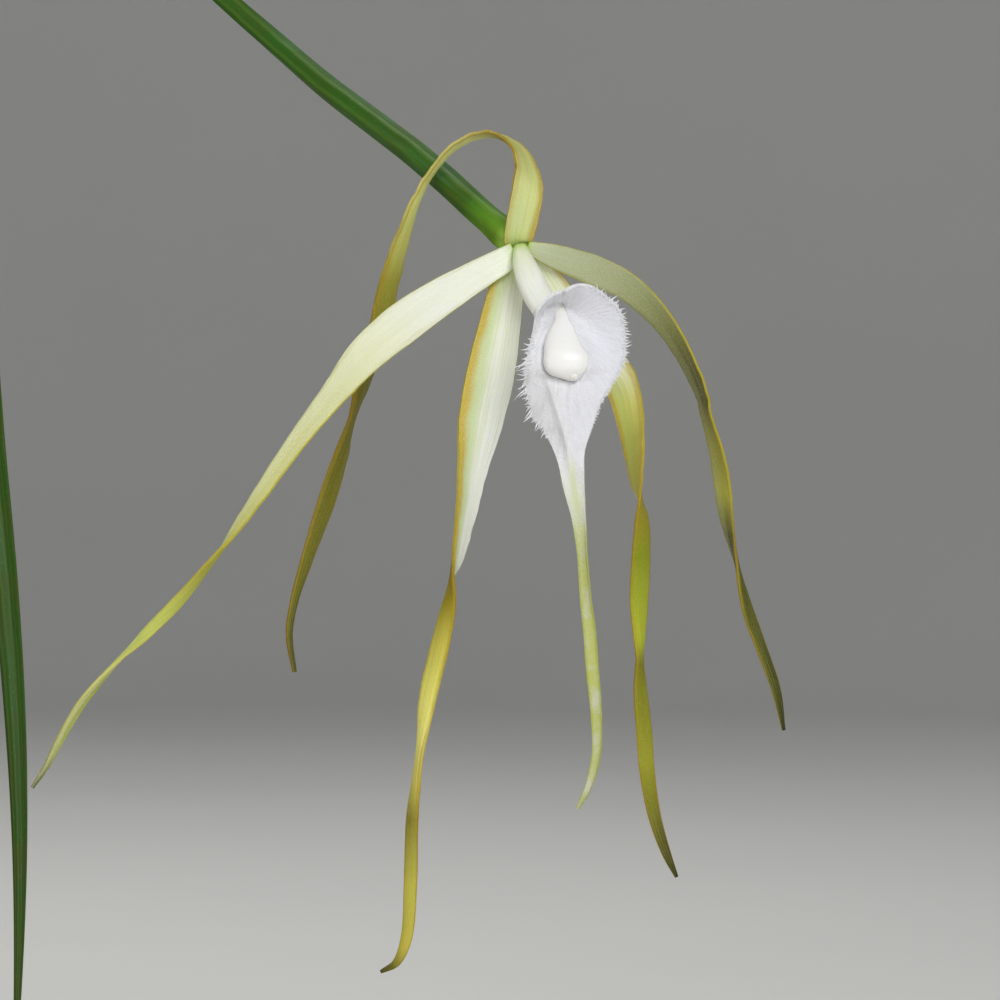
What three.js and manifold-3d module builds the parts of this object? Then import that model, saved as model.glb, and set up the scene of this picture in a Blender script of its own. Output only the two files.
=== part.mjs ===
// A potted Brassavola cucullata: a terracotta pot of bark, a creeping rhizome with slender
// sheathed stems, hanging rod-like leaves, and one long-tailed flower on a long arching ovary.
// Millimetres, +Z up. The origin is the centre of the pot's base, and -Y faces the viewer.
import * as THREE from 'three';
import Module from 'manifold-3d';
import { mergeVertices } from 'three/addons/utils/BufferGeometryUtils.js';

const wasm = await Module();
wasm.setup();

// Driving dimensions
const CLEARANCE = 0.3;
const POT = {
  height: 105, baseRadius: 41, bodyTopRadius: 54, rimRadius: 60, rimHeight: 21,
  floor: 8, innerBaseRadius: 35, innerTopRadius: 53, segments: 36,
};
const DRAIN = { count: 3, radius: 5, ringRadius: 19, segments: 12 };
const BARK = {
  top: 90, mound: 3, freeboard: 3, chips: 54, seed: 11, margin: 6.4, unevenness: 1.2, tilt: 0.5,
  chipLength: 16, chipWidth: 12, chipThickness: 7,
};
const RHIZOME = { radius: 2.9, knob: 0.35, knobs: 14, sides: 8, steps: 26 };
const STEM = { radius: 1.7, topRadius: 2.1, topFrom: 0.95, bow: 0.18, sides: 7, joints: [0, 0.33, 0.66, 1] };
const SHEATH = { wall: 0.6, flare: 0.45, cover: 0.86, lap: 0.01 };
const LEAF = {
  gap: 0.45, radius: 2.15, tipRadius: 0.45, footLength: 0.07, taperFrom: 0.45, grooveDepth: 0.28,
  sides: 7, steps: 25,
};
const ROOT = { radius: 1.3, tipRadius: 0.8, sides: 6, steps: 18 };
const PEDUNCLE = { height: 17, footRadius: 1.0, topRadius: 1.35, offset: 1.9, sides: 7, steps: 6 };
const PEDICEL = {
  baseRadius: 1.2, ovaryRadius: 1.95, swellFrom: 0.2, receptacleRadius: 2.3, receptacleFrom: 0.985,
  sides: 9, steps: 40,
};
const TEPAL = { thickness: 0.65, channel: 0.07, rowsBetween: 2, cols: 3 };
const FLOWERING_STEM = 5;

// The flower's junction, and the centre of its front view from VIEW_DISTANCE ahead of it
const JUNCTION = new THREE.Vector3(173, -85, 186);
const VIEW_CENTRE = new THREE.Vector3(170, -85, 150);
const VIEW_DISTANCE = 550;

// A repeatable random number from 0 to 1, so that every build lays the same chips
function seededRandom(seed) {
  let state = seed;
  return () => {
    state = (state * 16807) % 2147483647;
    return state / 2147483647;
  };
}

function bufferOf(points, triangles) {
  const geometry = new THREE.BufferGeometry();
  geometry.setAttribute('position', new THREE.Float32BufferAttribute(points.flatMap((p) => p.toArray()), 3));
  geometry.setIndex(triangles.flat());
  return geometry;
}

function weld(geometry) {
  const bare = geometry.clone();
  bare.deleteAttribute('normal');
  bare.deleteAttribute('uv');
  const merged = mergeVertices(bare, 1e-4);
  const index = merged.index.array;
  const kept = [];
  for (let i = 0; i < index.length; i += 3) {
    const [a, b, c] = [index[i], index[i + 1], index[i + 2]];
    if (a !== b && b !== c && a !== c) kept.push(a, b, c);
  }
  merged.setIndex(kept);
  return merged;
}

function solidOf(geometry) {
  const merged = weld(geometry);
  return new wasm.Manifold(new wasm.Mesh({
    numProp: 3,
    vertProperties: new Float32Array(merged.attributes.position.array),
    triVerts: new Uint32Array(merged.index.array),
  }));
}

// The largest body of a solid, as a geometry: loose scraps of a cut are dropped
function geometryOf(solid) {
  const largest = solid.decompose().sort((a, b) => b.volume() - a.volume())[0];
  const mesh = largest.getMesh();
  const geometry = new THREE.BufferGeometry();
  geometry.setAttribute('position', new THREE.Float32BufferAttribute(mesh.vertProperties, 3));
  geometry.setIndex([...mesh.triVerts]);
  return geometry;
}

// Four corners, the first two along one ring and the last two back along the next
function quad(a, b, c, d) {
  return [[a, b, c], [a, c, d]];
}

// A closed body through rings of points that turn anticlockwise about their direction of travel
function sweptBody(rings) {
  const sides = rings[0].length;
  const points = rings.flat();
  const triangles = [];
  for (let i = 0; i + 1 < rings.length; i++) {
    for (let k = 0; k < sides; k++) {
      const next = (k + 1) % sides;
      triangles.push(...quad(i * sides + k, i * sides + next, (i + 1) * sides + next, (i + 1) * sides + k));
    }
  }
  const last = (rings.length - 1) * sides;
  for (let k = 1; k + 1 < sides; k++) {
    triangles.push([0, k + 1, k], [last, last + k, last + k + 1]);
  }
  return bufferOf(points, triangles);
}

// A ring-shaped body: its rings close on themselves, and the last one joins the first
function loopedBody(rings) {
  const sides = rings[0].length;
  const triangles = [];
  rings.forEach((ring, i) => {
    const on = ((i + 1) % rings.length) * sides;
    for (let k = 0; k < sides; k++) {
      const next = (k + 1) % sides;
      triangles.push(...quad(i * sides + k, i * sides + next, on + next, on + k));
    }
  });
  return bufferOf(rings.flat(), triangles);
}

// Rings of a round rod along a curve; radiusAt gets the place along it, and the angle round it
function ringsAlong(curve, steps, sides, radiusAt) {
  const frames = curve.computeFrenetFrames(steps, false);
  return frames.tangents.map((_, i) => {
    const centre = curve.getPointAt(i / steps);
    return Array.from({ length: sides }, (_, k) => {
      const angle = (2 * Math.PI * k) / sides;
      const radius = radiusAt(i / steps, angle);
      return centre.clone()
        .addScaledVector(frames.normals[i], radius * Math.cos(angle))
        .addScaledVector(frames.binormals[i], radius * Math.sin(angle));
    });
  });
}

const through = (points) => new THREE.CatmullRomCurve3(points, false, 'centripetal');

// A sheet of even thickness about a grid of points, split into triangles alike on both faces
function thickSheet(grid, thickness, closedAcross = false) {
  const rows = grid.length;
  const cols = grid[0].length;
  const at = (i, j) => grid[THREE.MathUtils.clamp(i, 0, rows - 1)][
    closedAcross ? (j + cols) % cols : THREE.MathUtils.clamp(j, 0, cols - 1)];
  const faces = [[], []];
  for (let i = 0; i < rows; i++) {
    for (let j = 0; j < cols; j++) {
      const across = at(i, j + 1).clone().sub(at(i, j - 1));
      const along = at(i + 1, j).clone().sub(at(i - 1, j));
      const normal = across.cross(along).normalize();
      faces[0].push(at(i, j).clone().addScaledVector(normal, thickness / 2));
      faces[1].push(at(i, j).clone().addScaledVector(normal, -thickness / 2));
    }
  }
  const top = (i, j) => i * cols + (j % cols);
  const under = (i, j) => rows * cols + top(i, j);
  const triangles = [];
  const strips = closedAcross ? cols : cols - 1;
  for (let j = 0; j < strips; j++) {
    for (let i = 0; i + 1 < rows; i++) {
      triangles.push(...quad(top(i, j), top(i, j + 1), top(i + 1, j + 1), top(i + 1, j)));
      triangles.push([under(i, j), under(i + 1, j + 1), under(i, j + 1)]);
      triangles.push([under(i, j), under(i + 1, j), under(i + 1, j + 1)]);
    }
    triangles.push(...quad(top(0, j), under(0, j), under(0, j + 1), top(0, j + 1)));
    const end = rows - 1;
    triangles.push(...quad(top(end, j), top(end, j + 1), under(end, j + 1), under(end, j)));
  }
  for (let i = 0; i + 1 < rows && !closedAcross; i++) {
    const side = cols - 1;
    triangles.push(...quad(top(i, 0), top(i + 1, 0), under(i + 1, 0), under(i, 0)));
    triangles.push(...quad(top(i, side), under(i, side), under(i + 1, side), top(i + 1, side)));
  }
  return bufferOf(faces.flat(), triangles);
}

function mesh(name, geometry, colour, roughness) {
  const material = new THREE.MeshStandardMaterial({ color: colour, roughness, metalness: 0 });
  const part = new THREE.Mesh(geometry, material);
  part.name = name;
  return part;
}

// Pot: a thrown wall with a thick rim band and drain holes round the middle of its floor
const innerRadiusAt = (height) => THREE.MathUtils.mapLinear(
  height, POT.floor, POT.height, POT.innerBaseRadius, POT.innerTopRadius);

function turned(profile, segments) {
  return new THREE.LatheGeometry(profile.map(([r, z]) => new THREE.Vector2(r, z)), segments)
    .rotateX(Math.PI / 2);
}

function pot() {
  const bandFoot = POT.height - POT.rimHeight;
  const wall = turned([
    [0, 0], [POT.baseRadius - 2, 0], [POT.baseRadius, 2], [POT.bodyTopRadius, bandFoot],
    [POT.rimRadius - 1.5, bandFoot + 0.5], [POT.rimRadius - 0.5, bandFoot + 2],
    [POT.rimRadius, POT.height - 2], [POT.rimRadius - 2, POT.height],
    [POT.innerTopRadius + 1.5, POT.height], [innerRadiusAt(POT.height - 2), POT.height - 2],
    [POT.innerBaseRadius, POT.floor], [0, POT.floor],
  ], POT.segments);
  let solid = solidOf(wall);
  for (let i = 0; i < DRAIN.count; i++) {
    const angle = (2 * Math.PI * (i + 0.5)) / DRAIN.count;
    const hole = new THREE.CylinderGeometry(DRAIN.radius, DRAIN.radius, 3 * POT.floor, DRAIN.segments)
      .rotateX(Math.PI / 2)
      .translate(DRAIN.ringRadius * Math.cos(angle), DRAIN.ringRadius * Math.sin(angle), 0);
    solid = solid.subtract(solidOf(hole));
  }
  return mesh('pot', geometryOf(solid), 0xb5673f, 0.85);
}

// Rhizome: a knobbly rod lying along the bark, which the stems stand on
const rhizomeCurve = through([
  new THREE.Vector3(-37, 5, 94), new THREE.Vector3(-19, -3, 94.6), new THREE.Vector3(0, 3, 95),
  new THREE.Vector3(19, -2, 94.6), new THREE.Vector3(37, 4, 94),
]);

function rhizomeGeometry(growth) {
  const knob = (s) => RHIZOME.knob * Math.sin(s * RHIZOME.knobs * Math.PI) ** 2;
  const end = (s) => Math.sqrt(Math.max(0.12, 1 - (2 * s - 1) ** 12));
  return sweptBody(ringsAlong(rhizomeCurve, RHIZOME.steps, RHIZOME.sides,
    (s) => (RHIZOME.radius + knob(s)) * end(s) + growth));
}

// Stems: place along the rhizome, height, and how far the top leans across and back
const STEMS = [
  [0.05, 66, -13, -3], [0.20, 80, -9, 9], [0.35, 72, -6, -10], [0.50, 90, -3, 8],
  [0.64, 78, 3, -12], [0.80, 101, 4, 2], [0.95, 74, 9, 7],
];

const stemCurves = STEMS.map(([place, height, leanAcross, leanBack]) => {
  const seat = RHIZOME.radius + RHIZOME.knob + CLEARANCE;
  const base = rhizomeCurve.getPointAt(place).add(new THREE.Vector3(0, 0, seat));
  const lean = new THREE.Vector3(leanAcross, leanBack, 0);
  const top = base.clone().add(lean).setZ(base.z + height);
  const middle = base.clone().lerp(top, 0.5).addScaledVector(lean, -STEM.bow);
  return through([base, middle, top]);
});

const stemTops = stemCurves.map((curve) => ({ point: curve.getPoint(1), way: curve.getTangent(1) }));

// A ring square to the stem, with one corner always to the same side
function ringAt(curve, place, radius, sides = STEM.sides) {
  const way = curve.getTangentAt(place);
  const across = new THREE.Vector3(0, 1, 0).cross(way).normalize();
  const back = way.clone().cross(across);
  const centre = curve.getPointAt(place);
  return Array.from({ length: sides }, (_, k) => {
    const angle = (2 * Math.PI * k) / sides;
    return centre.clone().addScaledVector(across, radius * Math.cos(angle))
      .addScaledVector(back, radius * Math.sin(angle));
  });
}

function stem(curve, i) {
  const shaft = STEM.joints.map((share) => ringAt(curve, share * SHEATH.cover, STEM.radius));
  const top = [STEM.topFrom, 1].map((place) => ringAt(curve, place, STEM.topRadius));
  return mesh(`stem_${i + 1}`, sweptBody([...shaft, ...top]), 0x6f7f3a, 0.6);
}

// Papery sheaths: overlapping sleeves, each ending in a slightly flared mouth
function stemSheaths(curve, i) {
  const inner = STEM.radius + CLEARANCE;
  const outer = inner + SHEATH.wall;
  const ring = (share, radius) => ringAt(
    curve, THREE.MathUtils.clamp(share, 2 * SHEATH.lap, 1 - 2 * SHEATH.lap) * SHEATH.cover, radius);
  const outside = STEM.joints.slice(1).flatMap((share, k) => [
    ring(STEM.joints[k] + SHEATH.lap, outer), ring(share - SHEATH.lap, outer + SHEATH.flare)]);
  const inside = STEM.joints.toReversed().map((share) => ring(share, inner));
  return mesh(`stem_sheaths_${i + 1}`, loopedBody([...outside, ...inside]), 0xc9b48c, 0.8);
}

// Leaves: where each one hangs (across, back), how far it rises first, and its tip's height
const LEAVES = [
  [-98, 14, 26, 52], [-62, 84, 24, 38], [-58, -76, 26, 44], [-6, 100, 24, 30],
  [14, -92, 22, 36], [97.8, -45, 26, 34], [66, 82, 24, 46],
];

function leafCurve(top, [across, back, rise, tipHeight]) {
  const start = top.point.clone().addScaledVector(top.way, LEAF.gap);
  const reach = new THREE.Vector3(across - start.x, back - start.y, 0);
  const on = (share, height) => start.clone().addScaledVector(reach, share).setZ(height);
  const drop = start.z - tipHeight;
  return through([
    start, start.clone().addScaledVector(top.way, 7).addScaledVector(reach, 0.03),
    on(0.28, start.z + 0.85 * rise), on(0.58, start.z + rise), on(0.82, start.z + 0.35 * rise),
    on(0.945, start.z - 0.29 * drop), on(1.0, start.z - 0.60 * drop), on(0.97, tipHeight),
  ]);
}

// A rod that is narrow at its foot, and tapers to a blunt point, with a groove along one side
function leaf(top, row, i) {
  const radiusAt = (s, angle) => {
    const foot = THREE.MathUtils.smoothstep(s, -LEAF.footLength, LEAF.footLength);
    const taper = 1 - THREE.MathUtils.smoothstep(s, LEAF.taperFrom, 1) ** 1.4;
    const radius = Math.max(LEAF.tipRadius, LEAF.radius * foot * taper);
    return angle === 0 ? radius * (1 - LEAF.grooveDepth) : radius;
  };
  const rings = ringsAlong(leafCurve(top, row), LEAF.steps, LEAF.sides, radiusAt);
  return mesh(`leaf_${i + 1}`, sweptBody(rings), 0x3f6b22, 0.45);
}

// Roots: pale cords from the rhizome over the bark, two of them on over the pot's rim
const ROOTS = [
  [[-24, -6.5, 94.5], [-28, -18, 98], [-28.5, -31, 99.5], [-30, -39.5, 103.5], [-32.5, -44.5, 106.7],
    [-34, -48.5, 106.7], [-35.5, -50.8, 104.5], [-36, -51.3, 98], [-35.6, -51, 84]],
  [[26, -5.5, 94.5], [33, -16, 98.2], [34, -30, 97.8], [24, -40, 97], [15, -44, 96]],
  [[8, 7, 95], [14, 20, 98.5], [28, 30, 99], [36, 33, 103.6], [41.5, 36.5, 107],
    [45, 39.3, 106.7], [47, 41, 104.3], [47.5, 41.3, 97], [47.2, 41, 78]],
];

const rootCurves = ROOTS.map((points) => through(points.map((p) => new THREE.Vector3(...p))));

function rootGeometry(curve, growth) {
  return sweptBody(ringsAlong(curve, ROOT.steps, ROOT.sides,
    (s) => THREE.MathUtils.lerp(ROOT.radius, ROOT.tipRadius, s) + growth));
}

// Bark: a bed that fills the pot, with loose-looking chips that stand out of its top
function chip(random) {
  const shape = new THREE.BoxGeometry(
    BARK.chipLength * (0.7 + 0.5 * random()), BARK.chipWidth * (0.7 + 0.5 * random()), BARK.chipThickness);
  const place = shape.attributes.position;
  const corner = new THREE.Vector3();
  const shifts = Array.from({ length: 8 }, () => 0.7 + 0.3 * random());
  for (let i = 0; i < place.count; i++) {
    corner.fromBufferAttribute(place, i);
    const which = (corner.x > 0 ? 1 : 0) + (corner.y > 0 ? 2 : 0) + (corner.z > 0 ? 4 : 0);
    corner.multiplyScalar(shifts[which]);
    place.setXYZ(i, corner.x, corner.y, corner.z);
  }
  const tilt = new THREE.Euler(
    BARK.tilt * (random() - 0.5), BARK.tilt * (random() - 0.5), 2 * Math.PI * random());
  return shape.applyQuaternion(new THREE.Quaternion().setFromEuler(tilt));
}

function bedGeometry(top) {
  const foot = POT.floor + CLEARANCE;
  return turned([
    [0, foot], [innerRadiusAt(foot) - CLEARANCE, foot],
    [innerRadiusAt(top) - CLEARANCE, top], [0, top + BARK.mound],
  ], POT.segments);
}

function pottingBark() {
  const random = seededRandom(BARK.seed);
  const goldenAngle = Math.PI * (3 - Math.sqrt(5));
  const edge = innerRadiusAt(BARK.top) - BARK.margin;
  const pieces = [solidOf(bedGeometry(BARK.top))];
  for (let i = 0; i < BARK.chips; i++) {
    const radius = edge * Math.sqrt((i + 0.5) / BARK.chips);
    const angle = i * goldenAngle + 0.3 * random();
    const height = BARK.top + BARK.mound * (1 - radius / edge) + BARK.unevenness * (random() - 0.4);
    pieces.push(solidOf(chip(random).translate(radius * Math.cos(angle), radius * Math.sin(angle), height)));
  }
  let solid = wasm.Manifold.union(pieces).intersect(solidOf(bedGeometry(POT.height - BARK.freeboard)));
  solid = solid.subtract(solidOf(rhizomeGeometry(CLEARANCE)));
  for (const curve of rootCurves) solid = solid.subtract(solidOf(rootGeometry(curve, CLEARANCE)));
  return mesh('potting_bark', geometryOf(solid), 0x6b4a30, 0.95);
}

// The flower's front view: a point across and up from the junction, and back behind it.
// Deeper points are moved out from the view's centre, so that each keeps its place in that view.
const spreadAt = (back) => 1 + back / VIEW_DISTANCE;

function flowerPoint(across, up, back) {
  const flat = new THREE.Vector3(JUNCTION.x + across, JUNCTION.y, JUNCTION.z + up);
  flat.sub(VIEW_CENTRE).multiplyScalar(spreadAt(back)).add(VIEW_CENTRE);
  return flat.setY(JUNCTION.y + back);
}

// Tepals: each station is across, up, back, width, and the turn of its inner face from the viewer
const DORSAL_SEPAL = [
  [-0.4, 0.5, 1.0, 3.9, 0], [0.1, 3.0, 0.5, 4.4, 0], [0.8, 7.0, 0.6, 4.5, 15], [0.8, 10.0, 1.8, 4.6, 45],
  [-0.4, 13.1, 3.6, 4.6, 68], [-2.8, 14.9, 5.5, 4.6, 84], [-5.7, 15.1, 7.5, 4.6, 90], [-9.3, 13.5, 10, 4.6, 90],
  [-12.3, 10.3, 12.5, 4.6, 91], [-14.5, 6.5, 14.5, 4.6, 97], [-17.1, -1.0, 17.5, 4.5, 115],
  [-18.6, -6.3, 19, 4.4, 124], [-19.9, -12.2, 20.5, 4.2, 126], [-22.4, -20.6, 22, 3.9, 113],
  [-23.7, -24.6, 23, 3.7, 97], [-25.2, -29.8, 23, 3.4, 120], [-27.3, -36.3, 23, 3.0, 137],
  [-30.2, -44.9, 22, 2.2, 130], [-31.9, -50.6, 21, 1.6, 122], [-32.5, -55.0, 20, 1.2, 125],
  [-31.8, -60.1, 20, 0.5, 130],
];
const LEFT_PETAL = [
  [-1.5, -1.9, 0.2, 3.3, 0], [-5.6, -4.2, -0.6, 4.2, 0], [-11.3, -7.6, -1.5, 5.2, 0],
  [-16.8, -11.4, -2, 5.8, 0], [-22.0, -15.9, -2, 5.2, 8], [-25.8, -20.6, -1, 4.3, 28],
  [-31.1, -27.4, 0, 3.7, 43], [-36.5, -35.1, 1, 3.2, 52], [-39.9, -40.0, 2, 2.9, 66],
  [-42.0, -42.8, 2.5, 2.7, 88], [-46.9, -48.9, 4, 1.9, 136], [-52.6, -54.8, 5, 1.6, 205],
  [-56.2, -58.3, 6, 1.5, 268], [-61.5, -64.4, 6.5, 1.4, 318], [-65.0, -70.4, 6.5, 1.1, 338],
  [-66.6, -73.5, 6.5, 0.8, 345], [-68.5, -76.3, 6, 0.45, 350],
];
const RIGHT_PETAL = [
  [1.6, -0.3, 0.9, 2.3, 0], [4.3, -1.8, 2.2, 3.3, 0], [9.7, -3.7, 5.5, 4.2, 0], [14.7, -6.1, 9.5, 4.0, 18],
  [19.4, -10.5, 14, 3.8, 42], [22.6, -15.3, 18, 3.7, 56], [25.2, -21.0, 22, 3.6, 66],
  [25.9, -23.9, 24, 3.4, 70], [27.4, -29.3, 27, 3.1, 57], [28.2, -34.0, 30, 2.8, 42],
  [28.7, -38.2, 32, 2.6, 50], [29.8, -43.7, 34, 2.3, 82], [31.8, -51.7, 37, 2.0, 140],
  [33.7, -57.0, 38, 1.7, 150], [35.6, -62.4, 39, 1.4, 155], [36.7, -68.2, 40, 0.45, 160],
];
const LEFT_LATERAL_SEPAL = [
  [-0.8, -1.5, 1.9, 3.0, 0], [-2.0, -6.2, 1.6, 4.8, 0], [-3.2, -12.6, 1.2, 6.0, 0],
  [-4.5, -19.2, 1, 6.8, -6], [-5.7, -24.8, 1, 6.4, -14], [-6.8, -30.7, 1, 5.8, -42], [-7.8, -37.4, 1.5, 5.0, -56],
  [-9.0, -44.0, 2, 4.3, -70], [-9.5, -46.2, 2, 4.1, -87], [-10.2, -50.5, 2.5, 3.7, -117],
  [-11.5, -56.7, 3, 3.2, -141], [-13.1, -63.6, 3, 2.8, -149], [-14.3, -71.7, 3.5, 2.4, -112],
  [-15.3, -80.5, 4, 2.1, -136], [-15.5, -89.2, 4, 1.9, -162], [-16.1, -97.4, 4, 1.6, -165],
  [-17.5, -100.8, 4, 1.1, -165], [-19.7, -102.1, 4, 0.45, -165],
];
const RIGHT_LATERAL_SEPAL = [
  [1.4, -0.9, 2.3, 2.5, 0], [3.6, -5.6, 5, 4.8, 0], [7.6, -11.5, 9, 5.8, 0], [11.1, -16.0, 12, 6.0, 20],
  [13.9, -19.7, 15, 5.7, 38], [15.1, -23.7, 17, 5.2, 43], [15.9, -29.7, 18, 4.6, 58],
  [16.2, -34.2, 19, 4.1, 76],
  [16.9, -38.5, 20, 3.8, 117], [16.8, -43.8, 21, 3.4, 137], [16.5, -50.0, 22, 3.0, 147],
  [16.6, -56.1, 22.5, 2.7, 120], [16.6, -58.2, 23, 2.6, 110], [16.7, -62.9, 23, 2.4, 138],
  [17.2, -68.7, 24, 2.3, 160], [17.6, -74.1, 24, 2.2, 162], [18.6, -80.2, 25, 1.8, 165],
  [20.2, -85.3, 25, 1.3, 165], [21.7, -88.8, 25, 0.45, 165],
];

// A tepal's middle surface: slightly channelled, and turned as its stations say
function tepalGrid(stations) {
  const place = through(stations.map(([across, up, back]) => flowerPoint(across, up, back)));
  const form = new THREE.CatmullRomCurve3(
    stations.map(([, , back, width, turn]) => new THREE.Vector3(width * spreadAt(back), turn, 0)),
    false, 'catmullrom', 0.5);
  const rows = (stations.length - 1) * TEPAL.rowsBetween;
  return Array.from({ length: rows + 1 }, (_, i) => {
    const [centre, way, { x: width, y: turn }] = [
      place.getPoint(i / rows), place.getTangent(i / rows), form.getPoint(i / rows)];
    const inner = new THREE.Vector3(0, -1, 0).projectOnPlane(way).normalize()
      .applyAxisAngle(way, THREE.MathUtils.degToRad(turn));
    const side = way.clone().cross(inner);
    return Array.from({ length: TEPAL.cols }, (_, j) => {
      const x = (2 * j) / (TEPAL.cols - 1) - 1;
      return centre.clone().addScaledVector(side, (-x * width) / 2)
        .addScaledVector(inner, TEPAL.channel * width * (x * x - 0.5));
    });
  });
}

function tepal(name, stations, colour) {
  return mesh(name, thickSheet(tepalGrid(stations), TEPAL.thickness), colour, 0.5);
}

// Lip: a narrow tube that opens into a fringed blade with a long drawn-out tail.
// Tube and column stations are across, up, back, half width, half depth.
const LIP_TUBE = [
  [0.1, -1.2, -0.5, 1.45, 1.45], [0.6, -3.2, -2.2, 1.95, 1.8], [1.5, -5.6, -4.0, 2.05, 1.9],
  [2.9, -8.0, -5.7, 2.15, 1.95], [4.2, -9.7, -7.1, 2.4, 2.2], [5.1, -10.8, -8.8, 2.75, 2.6],
];
const COLUMN = [
  [0.1, -1.5, -0.9, 0.5, 0.5], [0.6, -3.3, -2.3, 1.0, 0.85], [1.5, -5.7, -4.1, 1.1, 0.95],
  [2.9, -8.1, -5.8, 1.15, 0.95], [4.4, -9.9, -7.6, 1.15, 1.0], [5.4, -11.0, -10.4, 1.3, 1.1],
  [5.6, -12.5, -11.9, 1.95, 1.4], [5.9, -14.4, -12.8, 2.7, 1.7], [6.3, -16.4, -13.1, 3.2, 1.8],
  [6.5, -18.0, -13.0, 2.6, 1.5], [6.9, -19.2, -12.7, 1.1, 0.8],
];
const ANTHER_CAP = { across: 7.3, up: -18.5, back: -15.2, radius: 0.8 };
const THROAT = { across: 5.2, up: -10.8, back: -8.6, radius: 2.35 };
// The blade's rim as it shows from the front, from the notch at the top round by the left
const RIM = [
  [5.9, -7.2], [4.5, -7.0], [3.0, -8.8], [2.0, -10.9], [1.4, -14.0], [0.7, -17.0], [0.7, -21.0],
  [1.9, -24.8], [3.6, -26.4], [4.6, -29.4], [5.6, -33.0], [7.4, -36.0], [8.8, -33.0], [8.9, -29.4],
  [10.1, -25.3], [11.1, -22.5], [12.5, -19.7], [14.3, -16.9], [14.8, -13.2], [13.8, -8.9], [11.0, -6.2],
  [8.8, -5.7], [7.0, -6.2],
];
const BLADE = {
  around: 76, rings: [0, 0.16, 0.5, 0.93, 1], dish: 4.2, fallBelow: -22, fall: 0.11,
  toothLong: 0.95, toothShort: 0.35, seed: 5,
};
const LIP_TAIL = [
  [6.4, -24.5, -11.2, 4.4, 0], [6.8, -29.0, -11.0, 3.9, 0], [7.3, -33.8, -11.1, 3.0, 0],
  [8.0, -38.5, -10.6, 2.0, 18], [8.5, -43.8, -9.7, 1.7, 40], [9.0, -50.0, -8.8, 1.7, 28],
  [9.5, -54.0, -8.2, 1.75, 12], [9.9, -59.4, -7.5, 1.75, 0], [10.5, -66.6, -7, 1.5, 12],
  [10.4, -72.0, -6.6, 1.2, 20], [9.2, -76.5, -6.2, 0.9, 12], [7.8, -79.2, -6, 0.45, 10],
];

const ovalRing = (centre, way, halfWidth, halfDepth, sides) => {
  const side = way.clone().cross(new THREE.Vector3(0, -1, 0)).normalize();
  const front = side.clone().cross(way);
  return Array.from({ length: sides }, (_, k) => {
    const angle = (2 * Math.PI * k) / sides;
    return centre.clone().addScaledVector(front, halfDepth * Math.cos(angle))
      .addScaledVector(side, halfWidth * Math.sin(angle));
  });
};

function ovalRings(stations, sides, growth = 0) {
  const curve = through(stations.map(([across, up, back]) => flowerPoint(across, up, back)));
  return stations.map(([, , , halfWidth, halfDepth], i) => {
    const t = i / (stations.length - 1);
    return ovalRing(curve.getPoint(t), curve.getTangent(t), halfWidth + growth, halfDepth + growth, sides);
  });
}

function lipTube() {
  return thickSheet(ovalRings(LIP_TUBE, 16, -TEPAL.thickness / 2), TEPAL.thickness, true);
}

// The blade is a dish from the throat out to its rim, where every second point is a fringe tooth
function lipBlade() {
  const random = seededRandom(BLADE.seed);
  const rim = new THREE.CatmullRomCurve3(
    RIM.map(([across, up]) => new THREE.Vector3(across, up, 0)), true, 'centripetal');
  const outline = rim.getSpacedPoints(BLADE.around).slice(0, -1);
  const centre = new THREE.Vector3(THROAT.across, THROAT.up, 0);
  const teeth = outline.map((_, k) => {
    const tooth = THREE.MathUtils.lerp(BLADE.toothShort, BLADE.toothLong, random());
    return k % 2 === 0 ? tooth / 2 : -tooth / 2;
  });
  const grid = BLADE.rings.map((share, row) => outline.map((rimPoint, k) => {
    const away = rimPoint.clone().sub(centre).normalize();
    const start = centre.clone().addScaledVector(away, THROAT.radius);
    const flat = start.lerp(rimPoint, share);
    if (row === BLADE.rings.length - 1) flat.addScaledVector(away, teeth[k]);
    const fall = BLADE.fall * Math.max(0, BLADE.fallBelow - flat.y);
    return flowerPoint(flat.x, flat.y, THROAT.back - BLADE.dish * share ** 0.75 + fall);
  }));
  return thickSheet(grid, TEPAL.thickness, true);
}

function lip() {
  const tail = thickSheet(tepalGrid(LIP_TAIL), TEPAL.thickness);
  const solid = solidOf(lipTube()).add(solidOf(lipBlade())).add(solidOf(tail));
  return mesh('lip', geometryOf(solid), 0xf2f3ee, 0.6);
}

function column() {
  return mesh('column', sweptBody(ovalRings(COLUMN, 10)), 0xfffdf5, 0.4);
}

function antherCap() {
  const { across, up, back, radius } = ANTHER_CAP;
  const place = flowerPoint(across, up, back);
  const cap = weld(new THREE.SphereGeometry(radius, 8, 5).scale(1.1, 0.7, 1).translate(place.x, place.y, place.z));
  return mesh('anther_cap', cap, 0xfdf6d8, 0.5);
}

// The flower's stalk: a short peduncle on the stem's top, then the long pedicel and ovary
const beside = (point, across, back, up) => point.clone().add(new THREE.Vector3(across, back, up));
const peduncleFoot = beside(stemTops[FLOWERING_STEM].point, -PEDUNCLE.offset, 0.4, 0.5);
const peduncleTop = beside(peduncleFoot, 1.5, -1, PEDUNCLE.height);
const stalkCurve = through([
  beside(peduncleTop, 0, 0, 2 * CLEARANCE), beside(peduncleTop, 0.6, -0.3, 5),
  new THREE.Vector3(38, -5, 236), new THREE.Vector3(62, -13, 250), new THREE.Vector3(90, -22, 251),
  new THREE.Vector3(113, -29, 239.5), flowerPoint(-37.5, 30.7, 50), flowerPoint(-27.4, 22.0, 40),
  flowerPoint(-20.6, 16.8, 32), flowerPoint(-15.1, 12.6, 24), flowerPoint(-10.4, 8.6, 17),
  flowerPoint(-5.3, 3.9, 8.5), flowerPoint(-0.6, 0.0, 2.9),
]);

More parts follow.
